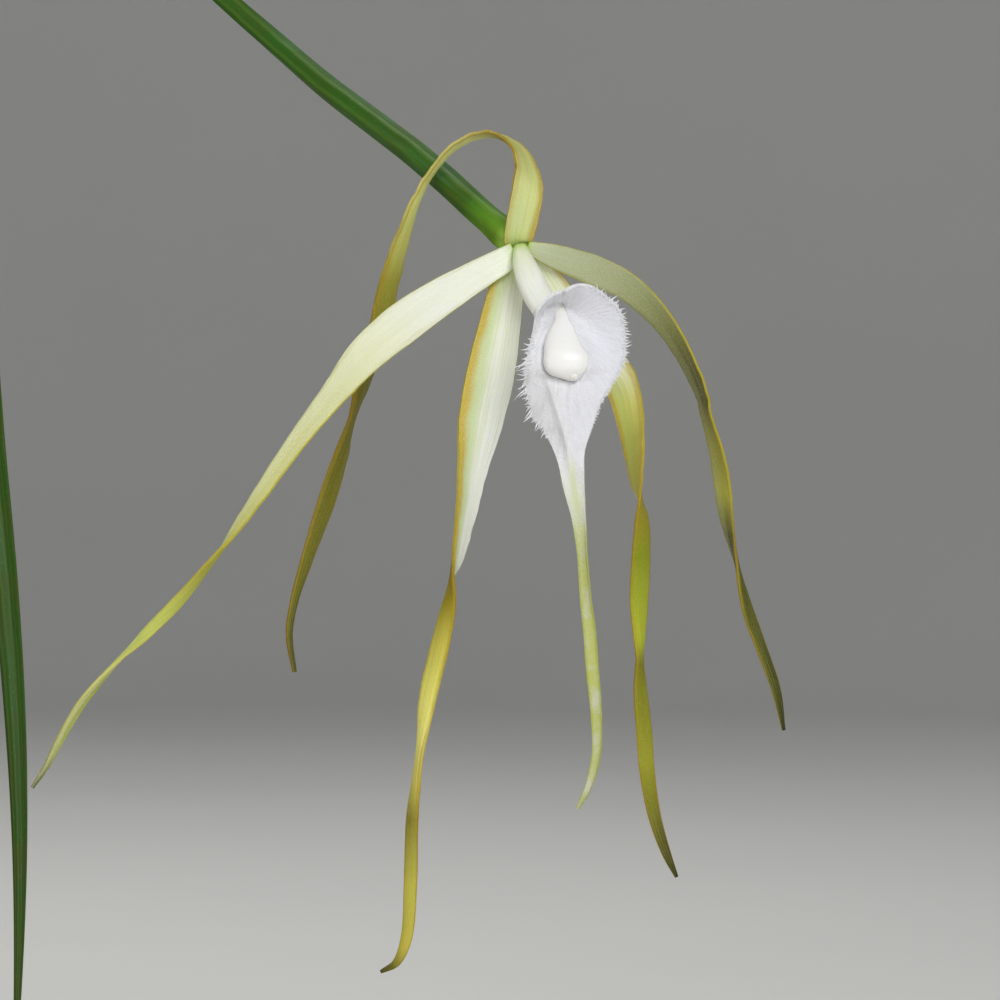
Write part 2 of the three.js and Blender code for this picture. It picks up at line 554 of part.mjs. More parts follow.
function peduncle() {
  const middle = peduncleFoot.clone().lerp(peduncleTop, 0.5);
  const curve = through([peduncleFoot, beside(middle, -0.6, 0, 0), peduncleTop]);
  const rings = ringsAlong(curve, PEDUNCLE.steps, PEDUNCLE.sides,
    (s) => THREE.MathUtils.lerp(PEDUNCLE.footRadius, PEDUNCLE.topRadius, s));
  return mesh('peduncle', sweptBody(rings), 0x63832f, 0.5);
}

function pedicelOvary() {
  const radiusAt = (s) => {
    const swell = THREE.MathUtils.smoothstep(s, PEDICEL.swellFrom, 1);
    const body = THREE.MathUtils.lerp(PEDICEL.baseRadius, PEDICEL.ovaryRadius, swell);
    return s > PEDICEL.receptacleFrom ? PEDICEL.receptacleRadius : body;
  };
  const rings = ringsAlong(stalkCurve, PEDICEL.steps, PEDICEL.sides, radiusAt);
  return mesh('pedicel_ovary', sweptBody(rings), 0x3c7a12, 0.45);
}

// A papery sleeve round the place where the pedicel leaves the peduncle: each row is a place
// along the stalk, and how far the sleeve's inner and outer faces lie outside the stalk's gap
const BRACT = [[0.012, 0.1, 0.7], [0.03, 0.6, 1.3], [0.055, 0.3, 0.9]];

function floralBract() {
  const clear = PEDICEL.baseRadius + CLEARANCE;
  const outside = BRACT.map(([place, , outer]) => ringAt(stalkCurve, place, clear + outer));
  const inside = BRACT.toReversed().map(([place, inner]) => ringAt(stalkCurve, place, clear + inner));
  return mesh('floral_bract', loopedBody([...outside, ...inside]), 0xc2ad7e, 0.8);
}

const plant = new THREE.Group();
plant.add(pot(), pottingBark());
plant.add(mesh('rhizome', rhizomeGeometry(0), 0x6b5a34, 0.8));
rootCurves.forEach((curve, i) => {
  plant.add(mesh(`aerial_root_${i + 1}`, rootGeometry(curve, 0), 0xc9ccbf, 0.8));
});
stemCurves.forEach((curve, i) => plant.add(stem(curve, i), stemSheaths(curve, i)));
LEAVES.forEach((row, i) => plant.add(leaf(stemTops[i], row, i)));
plant.add(peduncle(), floralBract(), pedicelOvary());

const flower = new THREE.Group();
flower.add(tepal('dorsal_sepal', DORSAL_SEPAL, 0xb9bd4a), tepal('petal_left', LEFT_PETAL, 0xdfe5b8));
flower.add(tepal('petal_right', RIGHT_PETAL, 0xc5c9b0));
flower.add(tepal('lateral_sepal_left', LEFT_LATERAL_SEPAL, 0xd8dfb0));
flower.add(tepal('lateral_sepal_right', RIGHT_LATERAL_SEPAL, 0xb4b95a));
flower.add(lip(), column(), antherCap());
plant.add(flower);

export default plant;
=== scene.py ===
"""A potted Brassavola cucullata: one long-tailed flower on an arching stalk, over a clay pot of bark.

Metres, +Z up. Tables of stations are in millimetres, and MM turns them to metres. The flower's were
traced in its front view, and the rest is a common plant's. The flower faces -Y, where the camera
stands.
"""

import logging
import math
import random
from dataclasses import dataclass
from enum import Enum
from typing import Callable, Sequence

import bpy
from mathutils import Euler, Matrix, Quaternion, Vector, noise


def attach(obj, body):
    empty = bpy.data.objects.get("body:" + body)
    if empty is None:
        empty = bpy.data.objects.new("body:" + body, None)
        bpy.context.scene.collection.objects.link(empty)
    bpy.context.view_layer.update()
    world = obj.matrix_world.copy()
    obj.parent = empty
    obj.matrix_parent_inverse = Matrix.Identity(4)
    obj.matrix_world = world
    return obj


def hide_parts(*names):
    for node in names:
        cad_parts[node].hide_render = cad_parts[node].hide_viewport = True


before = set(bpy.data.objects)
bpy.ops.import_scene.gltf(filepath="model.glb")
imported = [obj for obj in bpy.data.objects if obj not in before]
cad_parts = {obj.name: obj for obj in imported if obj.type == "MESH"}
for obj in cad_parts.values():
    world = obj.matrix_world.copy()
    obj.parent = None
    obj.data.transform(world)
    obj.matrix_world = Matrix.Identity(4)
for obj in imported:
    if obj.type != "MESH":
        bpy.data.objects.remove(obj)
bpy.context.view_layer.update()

log = logging.getLogger("brassavola")

MM = 0.001
BODY = "root"
CAD_GAP = 0.3

# The flower's junction, and the centre of its front view from VIEW_DISTANCE ahead of it
JUNCTION = Vector((173, -85, 186))
VIEW_CENTRE = Vector((170, -85, 150))
VIEW_DISTANCE = 550

Grid = list[list[Vector]]
Row = tuple[float, ...]


def linear_colour(code: str) -> tuple[float, float, float, float]:
    """Turns an sRGB hex colour to linear.

    Args:
        code: six hex digits after a hash sign.

    Returns:
        Red, green, blue and an alpha of one.
    """
    shares = [int(code[i : i + 2], 16) / 255 for i in (1, 3, 5)]
    linear = [s / 12.92 if s <= 0.04045 else ((s + 0.055) / 1.055) ** 2.4 for s in shares]
    return (*linear, 1.0)


def smoothstep(low: float, high: float, value: float) -> float:
    """Rises smoothly from 0 at low to 1 at high."""
    share = min(max((value - low) / (high - low), 0.0), 1.0)
    return share * share * (3 - 2 * share)


def mix(a: float, b: float, share: float) -> float:
    """Returns a at share 0 and b at share 1."""
    return a + (b - a) * share


class Blend(Enum):
    """How a curve spaces its knots."""

    CENTRIPETAL = 0.25
    UNIFORM = 0.0


class SmoothCurve:
    """A Catmull-Rom curve through points, read by its knots or by its length."""

    def __init__(
        self, points: Sequence[Vector], blend: Blend = Blend.CENTRIPETAL, samples: int = 240
    ) -> None:
        """Keeps the points and measures the curve.

        Args:
            points: what the curve passes through.
            blend: how its knots are spaced.
            samples: how many chords its length is measured with.
        """
        self.points = [Vector(p) for p in points]
        self.blend = blend
        self.samples = samples
        chords = [self.at(i / samples) for i in range(samples + 1)]
        self.lengths = [0.0]
        for a, b in zip(chords, chords[1:]):
            self.lengths.append(self.lengths[-1] + (b - a).length)

    def at(self, share: float) -> Vector:
        """Returns the point at a share of the way through the knots."""
        last = len(self.points) - 1
        place = min(max(share, 0.0), 1.0) * last
        i = min(int(place), last - 1)
        weight = place - i
        p1, p2 = self.points[i], self.points[i + 1]
        p0 = self.points[i - 1] if i > 0 else 2 * p1 - p2
        p3 = self.points[i + 2] if i + 2 <= last else 2 * p2 - p1
        if self.blend is Blend.UNIFORM:
            t1, t2 = (p2 - p0) / 2, (p3 - p1) / 2
        else:
            power = self.blend.value
            d1 = max((p2 - p1).length_squared ** power, 1e-4)
            d0 = max((p1 - p0).length_squared ** power, 1e-4)
            d2 = max((p3 - p2).length_squared ** power, 1e-4)
            t1 = ((p1 - p0) / d0 - (p2 - p0) / (d0 + d1) + (p2 - p1) / d1) * d1
            t2 = ((p2 - p1) / d1 - (p3 - p1) / (d1 + d2) + (p3 - p2) / d2) * d1
        w2, w3 = weight * weight, weight**3
        return p1 + t1 * weight + (3 * (p2 - p1) - 2 * t1 - t2) * w2 + (2 * (p1 - p2) + t1 + t2) * w3

    def way(self, share: float) -> Vector:
        """Returns the direction of travel at a share of the way through the knots."""
        step = 1e-3
        return (self.at(min(share + step, 1.0)) - self.at(max(share - step, 0.0))).normalized()

    def share_at(self, length_share: float) -> float:
        """Turns a share of the length to a share of the way through the knots."""
        target = min(max(length_share, 0.0), 1.0) * self.lengths[-1]
        low, high = 0, self.samples
        while high - low > 1:
            middle = (low + high) // 2
            if self.lengths[middle] <= target:
                low = middle
            else:
                high = middle
        span = self.lengths[high] - self.lengths[low]
        return (low + (target - self.lengths[low]) / span if span else low) / self.samples


def flower_point(across: float, up: float, back: float) -> Vector:
    """Places a point of the flower's front view, in millimetres.

    Args:
        across: to the right of the junction.
        up: above the junction.
        back: behind the junction. Deeper points move out from the view's centre, as far as
            keeps each at its place in the view.

    Returns:
        The point in the frame.
    """
    flat = Vector((JUNCTION.x + across, JUNCTION.y, JUNCTION.z + up)) - VIEW_CENTRE
    place = flat * spread_at(back) + VIEW_CENTRE
    place.y = JUNCTION.y + back
    return place


def spread_at(back: float) -> float:
    """Returns how much a length at that depth grows, to look as long as at the junction."""
    return 1 + back / VIEW_DISTANCE


def station_curves(stations: Sequence[Row]) -> tuple[SmoothCurve, SmoothCurve]:
    """Returns a ribbon's middle line, and the curve of its width and turn, from its stations."""
    place = SmoothCurve([flower_point(*row[:3]) for row in stations])
    forms = [Vector((row[3] * spread_at(row[2]), row[4], 0)) for row in stations]
    return place, SmoothCurve(forms, Blend.UNIFORM)


def ribbon_sides(way: Vector, turn: float) -> tuple[Vector, Vector]:
    """Returns the directions of a ribbon's inner face and of its side.

    Args:
        way: the ribbon's direction of travel.
        turn: how far its inner face is turned from the viewer, in degrees.

    Returns:
        The inner face's direction and the side's.
    """
    facing = Vector((0, -1, 0))
    inner = (facing - way * facing.dot(way)).normalized()
    inner = Quaternion(way, math.radians(turn)) @ inner
    return inner, way.cross(inner)


def deselect() -> None:
    """Deselects every object."""
    bpy.ops.object.select_all(action="DESELECT")


def choose(piece: bpy.types.Object) -> None:
    """Selects one object alone and makes it active."""
    deselect()
    piece.select_set(True)
    bpy.context.view_layer.objects.active = piece


def apply_modifier(piece: bpy.types.Object, kind: str, **settings: object) -> None:
    """Adds a modifier with its settings and applies it.

    Args:
        piece: the object that it finishes.
        kind: the modifier's type.
        settings: its properties by name.
    """
    choose(piece)
    modifier = piece.modifiers.new(kind.title(), kind)
    for name, value in settings.items():
        setattr(modifier, name, value)
    bpy.ops.object.modifier_apply(modifier=modifier.name)


def shaped_grid(name: str, grid: Grid, closed: bool = False, smooth: float = 50) -> bpy.types.Object:
    """Adds a grid primitive and moves its points to the form, from millimetres.

    Its UV map runs from 0 to 1 across each row, and from 0 to 1 from the first row to the last.

    Args:
        name: the object's name.
        grid: rows of points, all of the same length.
        closed: joins each row's ends, as on a tube. Rows whose points meet in one close its ends.
        smooth: edges under this angle, in degrees, are shaded smooth.

    Returns:
        The new object, at the origin.
    """
    rows, columns = len(grid), len(grid[0])
    deselect()
    bpy.ops.mesh.primitive_grid_add(x_subdivisions=columns - 1, y_subdivisions=rows - 1, size=1)
    piece = bpy.context.object
    piece.name = piece.data.name = name
    flat = [axis * MM for row in grid for point in row for axis in point]
    piece.data.vertices.foreach_set("co", flat)
    if closed:
        bpy.ops.object.mode_set(mode="EDIT")
        bpy.ops.mesh.select_all(action="SELECT")
        bpy.ops.mesh.remove_doubles(threshold=1e-7)
        bpy.ops.mesh.normals_make_consistent(inside=False)
        bpy.ops.object.mode_set(mode="OBJECT")
    bpy.ops.object.shade_smooth_by_angle(angle=math.radians(smooth))
    return piece


def copied(model: bpy.types.Object) -> bpy.types.Object:
    """Returns a copy of a modelled piece, with its own mesh."""
    twin = model.copy()
    twin.data = model.data.copy()
    bpy.context.collection.objects.link(twin)
    return twin


def joined(name: str, pieces: Sequence[bpy.types.Object]) -> bpy.types.Object:
    """Joins objects into one, with the first one's name replaced.

    Args:
        name: the joined object's name.
        pieces: what it is joined from.

    Returns:
        The joined object.
    """
    deselect()
    for piece in pieces:
        piece.select_set(True)
    bpy.context.view_layer.objects.active = pieces[0]
    if len(pieces) > 1:
        bpy.ops.object.join()
    pieces[0].name = pieces[0].data.name = name
    return pieces[0]


def smoothed(piece: bpy.types.Object, degrees: float) -> None:
    """Shades a finished piece smooth, apart from edges over that angle."""
    choose(piece)
    bpy.ops.object.shade_smooth_by_angle(angle=math.radians(degrees))


def fleshed(
    sheet: bpy.types.Object, columns: int, power: float, thickness: float, margin: float, **settings: object
) -> None:
    """Gives a sheet its thickness, which thins from its middle to both side edges.

    Args:
        sheet: the sheet, whose rows run across it.
        columns: how many points a row has.
        power: how late the thickness falls off. More keeps it further out.
        thickness: its thickness in the middle.
        margin: its thickness at the edges.
        settings: other properties of the modifier.
    """
    flesh = sheet.vertex_groups.new(name="flesh")
    for vertex in sheet.data.vertices:
        x = 2 * (vertex.index % columns) / (columns - 1) - 1
        flesh.add([vertex.index], 1 - abs(x) ** power, "REPLACE")
    share = margin / thickness
    fixed = {"vertex_group": "flesh", "thickness_vertex_group": share, **settings}
    apply_modifier(sheet, "SOLIDIFY", thickness=thickness * MM, **fixed)


def turned_grid(profile: Sequence[tuple[float, float]], sides: int) -> Grid:
    """Returns a section of radius and height turned about the Z axis."""
    angles = [2 * math.pi * (k % sides) / sides for k in range(sides + 1)]
    return [[Vector((r * math.cos(a), r * math.sin(a), z)) for a in angles] for r, z in profile]


def ring_point(centre: Vector, side: Vector, way: Vector, radius: float, angle: float) -> Vector:
    """Returns a point of the ring round a place of a rod, at an angle from its side."""
    return centre + side * (radius * math.cos(angle)) + way.cross(side) * (radius * math.sin(angle))


def squared(value: float, power: float) -> float:
    """Returns a sine or cosine pushed outwards, which squares a ring off."""
    return abs(value) ** power * math.copysign(1, value)


def transported_frames(
    curve: SmoothCurve, shares: Sequence[float], first: Vector
) -> list[tuple[Vector, Vector, Vector]]:
    """Carries a side direction along a curve without twist.

    Args:
        curve: the rod's middle line.
        shares: the places along its length.
        first: the side direction at the first place.

    Returns:
        The centre, the carried side and the direction of travel at each place.
    """
    frames = []
    side = first
    for share in shares:
        knot = curve.share_at(share)
        way = curve.way(knot)
        side = (side - way * side.dot(way)).normalized()
        frames.append((curve.at(knot), side.copy(), way))
    return frames


def rod_grid(
    curve: SmoothCurve,
    steps: int,
    sides: int,
    radius_at: Callable[[float, float], float],
    first: Vector,
    shares: Sequence[float] | None = None,
) -> Grid:
    """Lays rings along a curve, closed to a point at both ends.

    Args:
        curve: the rod's middle line.
        steps: how many rings it has.
        sides: how many points a ring has.
        radius_at: gets the share of the length and the angle, and returns the radius.
        first: the direction of angle 0 at the start.
        shares: the rings' places, if they aren't even.

    Returns:
        The grid of its surface.
    """
    shares = shares or [i / steps for i in range(steps + 1)]
    grid = []
    for share, (centre, side, way) in zip(shares, transported_frames(curve, shares, first)):
        angles = [2 * math.pi * (k % sides) / sides for k in range(sides + 1)]
        grid.append([ring_point(centre, side, way, radius_at(share, a), a) for a in angles])
    return closed_ends(grid, curve.at(0), curve.at(1))


def closed_ends(grid: Grid, start: Vector, end: Vector) -> Grid:
    """Returns rings with a row that meets in one point before and after them."""
    first, last = ([point.copy() for _ in grid[0]] for point in (start, end))
    return [first, *grid, last]


def flat_tube(
    stations: Sequence[Row],
    rows: int,
    sides: int,
    powers: tuple[float, float],
    wall: float = 0.0,
    upright: tuple[float, float] | None = None,
) -> Grid:
    """Lays flattened rings along stations of across, up, back, half width and half depth.

    Args:
        stations: the tube's stations.
        rows: how many steps it has.
        sides: how many points a ring has.
        powers: how square its rings are, front to back and side to side.
        wall: how far inside the stations' surface it lies.
        upright: the shares between which its rings turn level.

    Returns:
        The grid of its surface, open at both ends.
    """
    line = SmoothCurve([flower_point(*row[:3]) for row in stations])
    form = SmoothCurve([Vector((row[3], row[4], 0)) for row in stations])
    grid = []
    for r in range(rows + 1):
        share = r / rows
        centre, way, shape = line.at(share), line.way(share), form.at(share)
        if upright:
            way = way.lerp(Vector((0, 0, -1)), smoothstep(*upright, share)).normalized()
        side = way.cross(Vector((0, -1, 0))).normalized()
        front = side.cross(way)
        ring = []
        for s in range(sides + 1):
            angle = 2 * math.pi * (s % sides) / sides
            ahead = (shape.y - wall) * squared(math.cos(angle), powers[0])
            beside = (shape.x - wall) * squared(math.sin(angle), powers[1])
            ring.append(centre + front * ahead + side * beside)
        grid.append(ring)
    return grid


def put_material(piece: bpy.types.Object, *materials: bpy.types.Material) -> None:
    """Gives a piece its materials, in the order of its material slots."""
    piece.data.materials.clear()
    for material in materials:
        piece.data.materials.append(material)


def finish_piece(piece: bpy.types.Object, slot: str, *nodes: str) -> None:
    """Ties a piece to the frame and reports it.

    Args:
        piece: the finished object.
        slot: the record's material slot. Not used.
        nodes: the CAD nodes that it stands for.
    """
    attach(piece, BODY)
    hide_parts(*nodes)
    log.info("%s: %d faces", piece.name, len(piece.data.polygons))


def add_node(
    tree: bpy.types.NodeTree,
    kind: str,
    settings: dict[str, object] | None = None,
    inputs: dict[str | int, object] | None = None,
) -> bpy.types.Node:
    """Adds a shader node with its settings and links.

    Args:
        tree: the material's node tree.
        kind: the node's type, without its Shader Node prefix.
        settings: properties by name. The name stops takes a colour ramp's places and colours.
        inputs: by socket, a value or the output socket that it takes.

    Returns:
        The new node.
    """
    node = tree.nodes.new("ShaderNode" + kind)
    for name, value in (settings or {}).items():
        if name == "stops":
            ramp = node.color_ramp
            while len(ramp.elements) > 1:
                ramp.elements.remove(ramp.elements[-1])
            for i, (place, code) in enumerate(value):
                element = ramp.elements[0] if i == 0 else ramp.elements.new(place)
                element.position = place
                element.color = linear_colour(code)
        else:
            setattr(node, name, value)
    for socket, value in (inputs or {}).items():
        if isinstance(value, bpy.types.NodeSocket):
            tree.links.new(value, node.inputs[socket])
        else:
            node.inputs[socket].default_value = value
    return node


def living(weight: float, depth_mm: float, tint: tuple[float, float, float]) -> dict[str, object]:
    """Returns the shader's settings for tissue that light sinks into, to a depth, with a tint."""
    return {"Subsurface_Weight": weight, "Subsurface_Radius": tint, "Subsurface_Scale": depth_mm * MM}


class MaterialBuilder:
    """A new material's node tree, with the few patterns that the plant's finishes share."""

    def __init__(self, name: str) -> None:
        """Adds the material with its shader and its coordinates."""
        self.material = bpy.data.materials.new(name)
        self.material.use_nodes = True
        self.tree = self.material.node_tree
        self.shader = self.tree.nodes["Principled BSDF"]
        coordinates = add_node(self.tree, "TexCoord")
        self.place = coordinates.outputs["Object"]
        self.uv = coordinates.outputs["UV"]
        apart = add_node(self.tree, "SeparateXYZ", inputs={0: self.uv})
        self.across = apart.outputs["X"]
        self.along = apart.outputs["Y"]

    def noise(
        self, size_mm: float, detail: float = 3, where: bpy.types.NodeSocket | None = None
    ) -> bpy.types.NodeSocket:
        """Returns noise whose lumps are about size_mm wide in the piece's own space."""
        node = add_node(
            self.tree,
            "TexNoise",
            inputs={"Vector": where or self.place, "Scale": 1 / (size_mm * MM), "Detail": detail},
        )
        return node.outputs["Fac"]

    def stretched(self, around: float, along: float) -> bpy.types.NodeSocket:
        """Returns UV coordinates with a count of lumps across and along the piece."""
        node = add_node(self.tree, "Mapping", inputs={"Vector": self.uv, "Scale": (around, along, 1)})
        return node.outputs["Vector"]

    def math(self, operation: str, a: object, b: object = 0.0, c: object = 0.0) -> bpy.types.NodeSocket:
        """Returns the result of one sum on sockets or numbers."""
        node = add_node(self.tree, "Math", {"operation": operation}, {0: a, 1: b, 2: c})
        return node.outputs[0]

    def layered(self, factor: float) -> bpy.types.NodeSocket:
        """Returns the place with its height squeezed by a factor, for level streaks or layers."""
        fixed = {"Vector": self.place, "Scale": (1.0, 1.0, factor)}
        return add_node(self.tree, "Mapping", inputs=fixed).outputs["Vector"]

    def cells(self, size_mm: float, feature: str = "F1") -> bpy.types.NodeSocket:
        """Returns the distance from the nearest of many scattered points, a size apart."""
        fixed = {"Vector": self.place, "Scale": 1 / (size_mm * MM)}
        return add_node(self.tree, "TexVoronoi", {"feature": feature}, fixed).outputs["Distance"]

    def ranged(
        self, value: object, low: float, high: float, to_low: float = 0, to_high: float = 1
    ) -> bpy.types.NodeSocket:
        """Returns a value moved smoothly from the range low to high to another range."""
        node = add_node(
            self.tree,
            "MapRange",
            {"interpolation_type": "SMOOTHSTEP"},
            {0: value, 1: low, 2: high, 3: to_low, 4: to_high},
        )
        return node.outputs[0]

    def ramp(self, value: object, stops: Sequence[tuple[float, str]]) -> bpy.types.NodeSocket:
        """Returns a colour from stops of place and hex colour."""
        node = add_node(self.tree, "ValToRGB", {"stops": stops}, {0: value})
        return node.outputs[0]

    def mixed(self, share: object, a: object, b: object) -> bpy.types.NodeSocket:
        """Returns one colour over another by share. A hex code stands for its colour."""
        a, b = [linear_colour(c) if isinstance(c, str) else c for c in (a, b)]
        node = add_node(self.tree, "Mix", {"data_type": "RGBA", "blend_type": "MIX"}, {0: share, 6: a, 7: b})
        return node.outputs[2]

    def margin(self) -> bpy.types.NodeSocket:
        """Returns 0 in the middle of the sheet and 1 at both its side edges."""
        return self.math("ABSOLUTE", self.math("MULTIPLY_ADD", self.across, 2.0, -1.0))

    def bump(
        self, height: bpy.types.NodeSocket, depth_mm: float, strength: float = 1.0, under: object = None
    ) -> bpy.types.NodeSocket:
        """Returns a normal that a height field of that depth bends."""
        inputs = {"Height": height, "Distance": depth_mm * MM, "Strength": strength}
        if under is not None:
            inputs["Normal"] = under
        return add_node(self.tree, "Bump", inputs=inputs).outputs[0]

    def dress(
        self, colour: object, roughness: object, normal: object = None, **fixed: object
    ) -> bpy.types.Material:
        """Links the shader's colour, roughness and normal, and sets its fixed sockets.

        Args:
            colour: the base colour's socket or hex code.
            roughness: the roughness as a socket or a number.
            normal: the bumped normal, if any.
            fixed: values of other sockets, with underscores for the spaces in their names.

        Returns:
            The finished material.
        """
        sockets = {"Base Color": colour, "Roughness": roughness, "Normal": normal}
        sockets.update({name.replace("_", " "): value for name, value in fixed.items()})
        for name, value in sockets.items():
            if isinstance(value, bpy.types.NodeSocket):
                self.tree.links.new(value, self.shader.inputs[name])
            elif value is not None:
                value = linear_colour(value) if isinstance(value, str) else value
                self.shader.inputs[name].default_value = value
        return self.material


@dataclass(frozen=True)
class TepalFinish:
    """Living tepal tissue: thin, faintly translucent, with a crystalline grain of swollen cells.

    A face has colours along it, a green band to its left of the middle, and golden margins.
    The colours along it hold painted light and shade as well as the tissue's own colour.
    """

    name: str
    stops: tuple[tuple[float, str], ...]
    edge: str = "#c4a42c"
    edge_right: float = 0.1
    edge_left: float = 0.1
    edge_width: float = 0.16
    band: str = "#c6d690"
    band_share: float = 0.0
    vein: str = "#c0d088"
    vein_share: float = 0.3
    cell_mm: float = 0.22
    painted_glint: float = 0.2

    def material(self) -> bpy.types.Material:
        """Returns the tissue's material."""
        build = MaterialBuilder(self.name)
        ground = build.ramp(build.along, self.stops)
        streaks = build.noise(1, 4, build.stretched(0.022, 0.006))
        blotches = build.noise(5.0, 3)
        across = build.math("MULTIPLY_ADD", blotches, 0.2, build.math("ADD", build.across, -0.1))
        band = build.math("MULTIPLY", build.ranged(across, 0.42, 0.72), self.band_share)
        ground = build.mixed(band, ground, self.band)
        veins = build.math("MULTIPLY", build.ranged(streaks, 0.45, 0.68), self.vein_share)
        ground = build.mixed(veins, ground, self.vein)
        for share, outside, inside in (
            (self.edge_right, 0.25 * self.edge_width, self.edge_width),
            (self.edge_left, 1 - 0.25 * self.edge_width, 1 - self.edge_width),
        ):
            rim = build.math("MULTIPLY", build.ranged(across, inside, outside), share)
            ground = build.mixed(rim, ground, self.edge)
        cells = build.cells(self.cell_mm)
        # Pale specks at the cells' middles are painted glints of light on the swollen cells.
        ground = build.mixed(build.ranged(cells, 0.5, 0.1, 0, self.painted_glint), ground, "#fbfbf4")
        normal = build.bump(streaks, 0.09)
        normal = build.bump(cells, 0.05, 0.6, normal)
        return build.dress(
            ground,
            build.ranged(cells, 0.1, 0.8, 0.42, 0.6),
            normal,
            **living(0.2, 0.8, (1.0, 1.0, 0.4)),
            Specular_IOR_Level=0.22,
        )


@dataclass(frozen=True)
class LipFinish:
    """The lip's velvet: white tissue under a coat of short clear papillae, which soften its light.

    Fine streaks run out from the throat to the fringe. The tail turns from white to green-yellow.
    """

    name: str = "lip_velvet"
    shade: str = "#d3d4d2"
    lit_lobe_tint: str = "#e6e6f0"
    stops: tuple[tuple[float, str], ...] = (
        (0.0, "#e9e9ee"), (0.40, "#e9e9ec"), (0.49, "#e0e2d6"), (0.55, "#d2d7a8"), (0.62, "#c6cb7e"),
        (0.80, "#bcc26c"), (0.93, "#c2c78a"), (1.0, "#aab07c"),
    )
    papilla_mm: float = 0.24

    def material(self) -> bpy.types.Material:
        """Returns the velvet's material."""
        build = MaterialBuilder(self.name)
        ground = build.ramp(build.along, self.stops)
        throat = flower_point(5.2, -10.8, -10.0) * MM
        centred = add_node(build.tree, "Mapping", {"vector_type": "POINT"}, {0: build.place, 1: -throat})
        apart = add_node(build.tree, "SeparateXYZ", inputs={0: centred.outputs[0]})
        turn = build.math("ARCTAN2", apart.outputs["X"], apart.outputs["Z"])
        length = add_node(build.tree, "VectorMath", {"operation": "LENGTH"}, {0: centred.outputs[0]})
        reach = length.outputs["Value"]
        polar = add_node(
            build.tree,
            "CombineXYZ",
            inputs={0: build.math("MULTIPLY", turn, 16.0), 1: build.math("MULTIPLY", reach, 350.0)},
        ).outputs[0]
        streaks = add_node(
            build.tree, "TexNoise", inputs={"Vector": polar, "Scale": 1.0, "Detail": 4.0}
        ).outputs["Fac"]
        upper = build.ranged(build.along, 0.3, 0.45, 1, 0)
        shaded = build.math("MULTIPLY", build.ranged(streaks, 0.42, 0.68), 0.5)
        ground = build.mixed(shaded, ground, self.shade)
        # A cooler tint on the upper right lobe is painted light, for the side of the blade that faces the
        # light.
        lit_lobe = build.math("MULTIPLY", build.ranged(build.across, 0.62, 0.2), upper)
        ground = build.mixed(build.math("MULTIPLY", lit_lobe, 0.6), ground, self.lit_lobe_tint)
        middle = build.ranged(build.margin(), 0.45, 0.1)
        middle = build.math("MULTIPLY", middle, build.ranged(build.along, 0.36, 0.47))
        fades = build.math("MULTIPLY", middle, build.ranged(build.along, 0.62, 0.52))
        ground = build.mixed(build.math("MULTIPLY", fades, 0.6), ground, "#cfd69c")
        tail = build.ranged(build.along, 0.52, 0.6)
        rim = build.math("MULTIPLY", build.ranged(build.margin(), 0.45, 1.0), tail)
        ground = build.mixed(build.math("MULTIPLY", rim, 0.7), ground, "#a1a63c")
        papillae = build.cells(self.papilla_mm, "SMOOTH_F1")
        normal = build.bump(streaks, 0.16)
        normal = build.bump(papillae, 0.10, 0.8, normal)
        return build.dress(
            ground,
            0.75,
            normal,
            **living(0.2, 0.5, (1.0, 1.0, 1.0)),
            Sheen_Weight=0.15,
            Sheen_Roughness=0.5,
            Specular_IOR_Level=0.3,
        )


@dataclass(frozen=True)
class ClawFinish:
    """The lip's claw: smooth waxy tissue, green where it leaves the junction and white lower down."""

    name: str = "claw_tissue"
    stops: tuple[tuple[float, str], ...] = (
        (0.0, "#aad650"), (0.1, "#cde68e"), (0.3, "#eef5cc"), (0.7, "#fafcee"), (1.0, "#f2f4e8"),
    )

    def material(self) -> bpy.types.Material:
        """Returns the claw's material."""
        build = MaterialBuilder(self.name)
        ground = build.ramp(build.along, self.stops)
        streaks = build.noise(1, 3, build.stretched(0.03, 0.004))
        ground = build.mixed(build.ranged(streaks, 0.45, 0.7, 0, 0.25), ground, "#d8e8a4")
        left = build.ranged(build.across, 0.06, 0.2)
        left = build.math("MULTIPLY", left, build.ranged(build.across, 0.45, 0.3))
        left = build.math("MULTIPLY", left, build.ranged(build.along, 0.6, 0.1))
        ground = build.mixed(build.math("MULTIPLY", left, 0.85), ground, "#b5d75c")
        return build.dress(
            ground,
            0.42,
            build.bump(streaks, 0.05),
            **living(0.25, 0.8, (1.0, 1.0, 0.6)),
        )


@dataclass(frozen=True)
class WaxFinish:
    """Solid waxy tissue, as on the column and its cap: smooth, faintly glossy and deeply translucent."""

    name: str
    colour: str
    foot: str
    gloss: float = 0.3

    def material(self) -> bpy.types.Material:
        """Returns the wax's material."""
        build = MaterialBuilder(self.name)
        ground = build.ramp(build.along, ((0.0, self.foot), (0.35, self.colour), (1.0, self.colour)))
        grain = build.noise(0.5, 2)
        return build.dress(
            build.mixed(build.ranged(grain, 0.3, 0.8, 0, 0.12), ground, "#efe9d6"),
            build.ranged(grain, 0.2, 0.8, self.gloss, self.gloss + 0.12),
            build.bump(grain, 0.03, 0.5),
            **living(0.4, 1.0, (1.0, 0.9, 0.7)),
        )


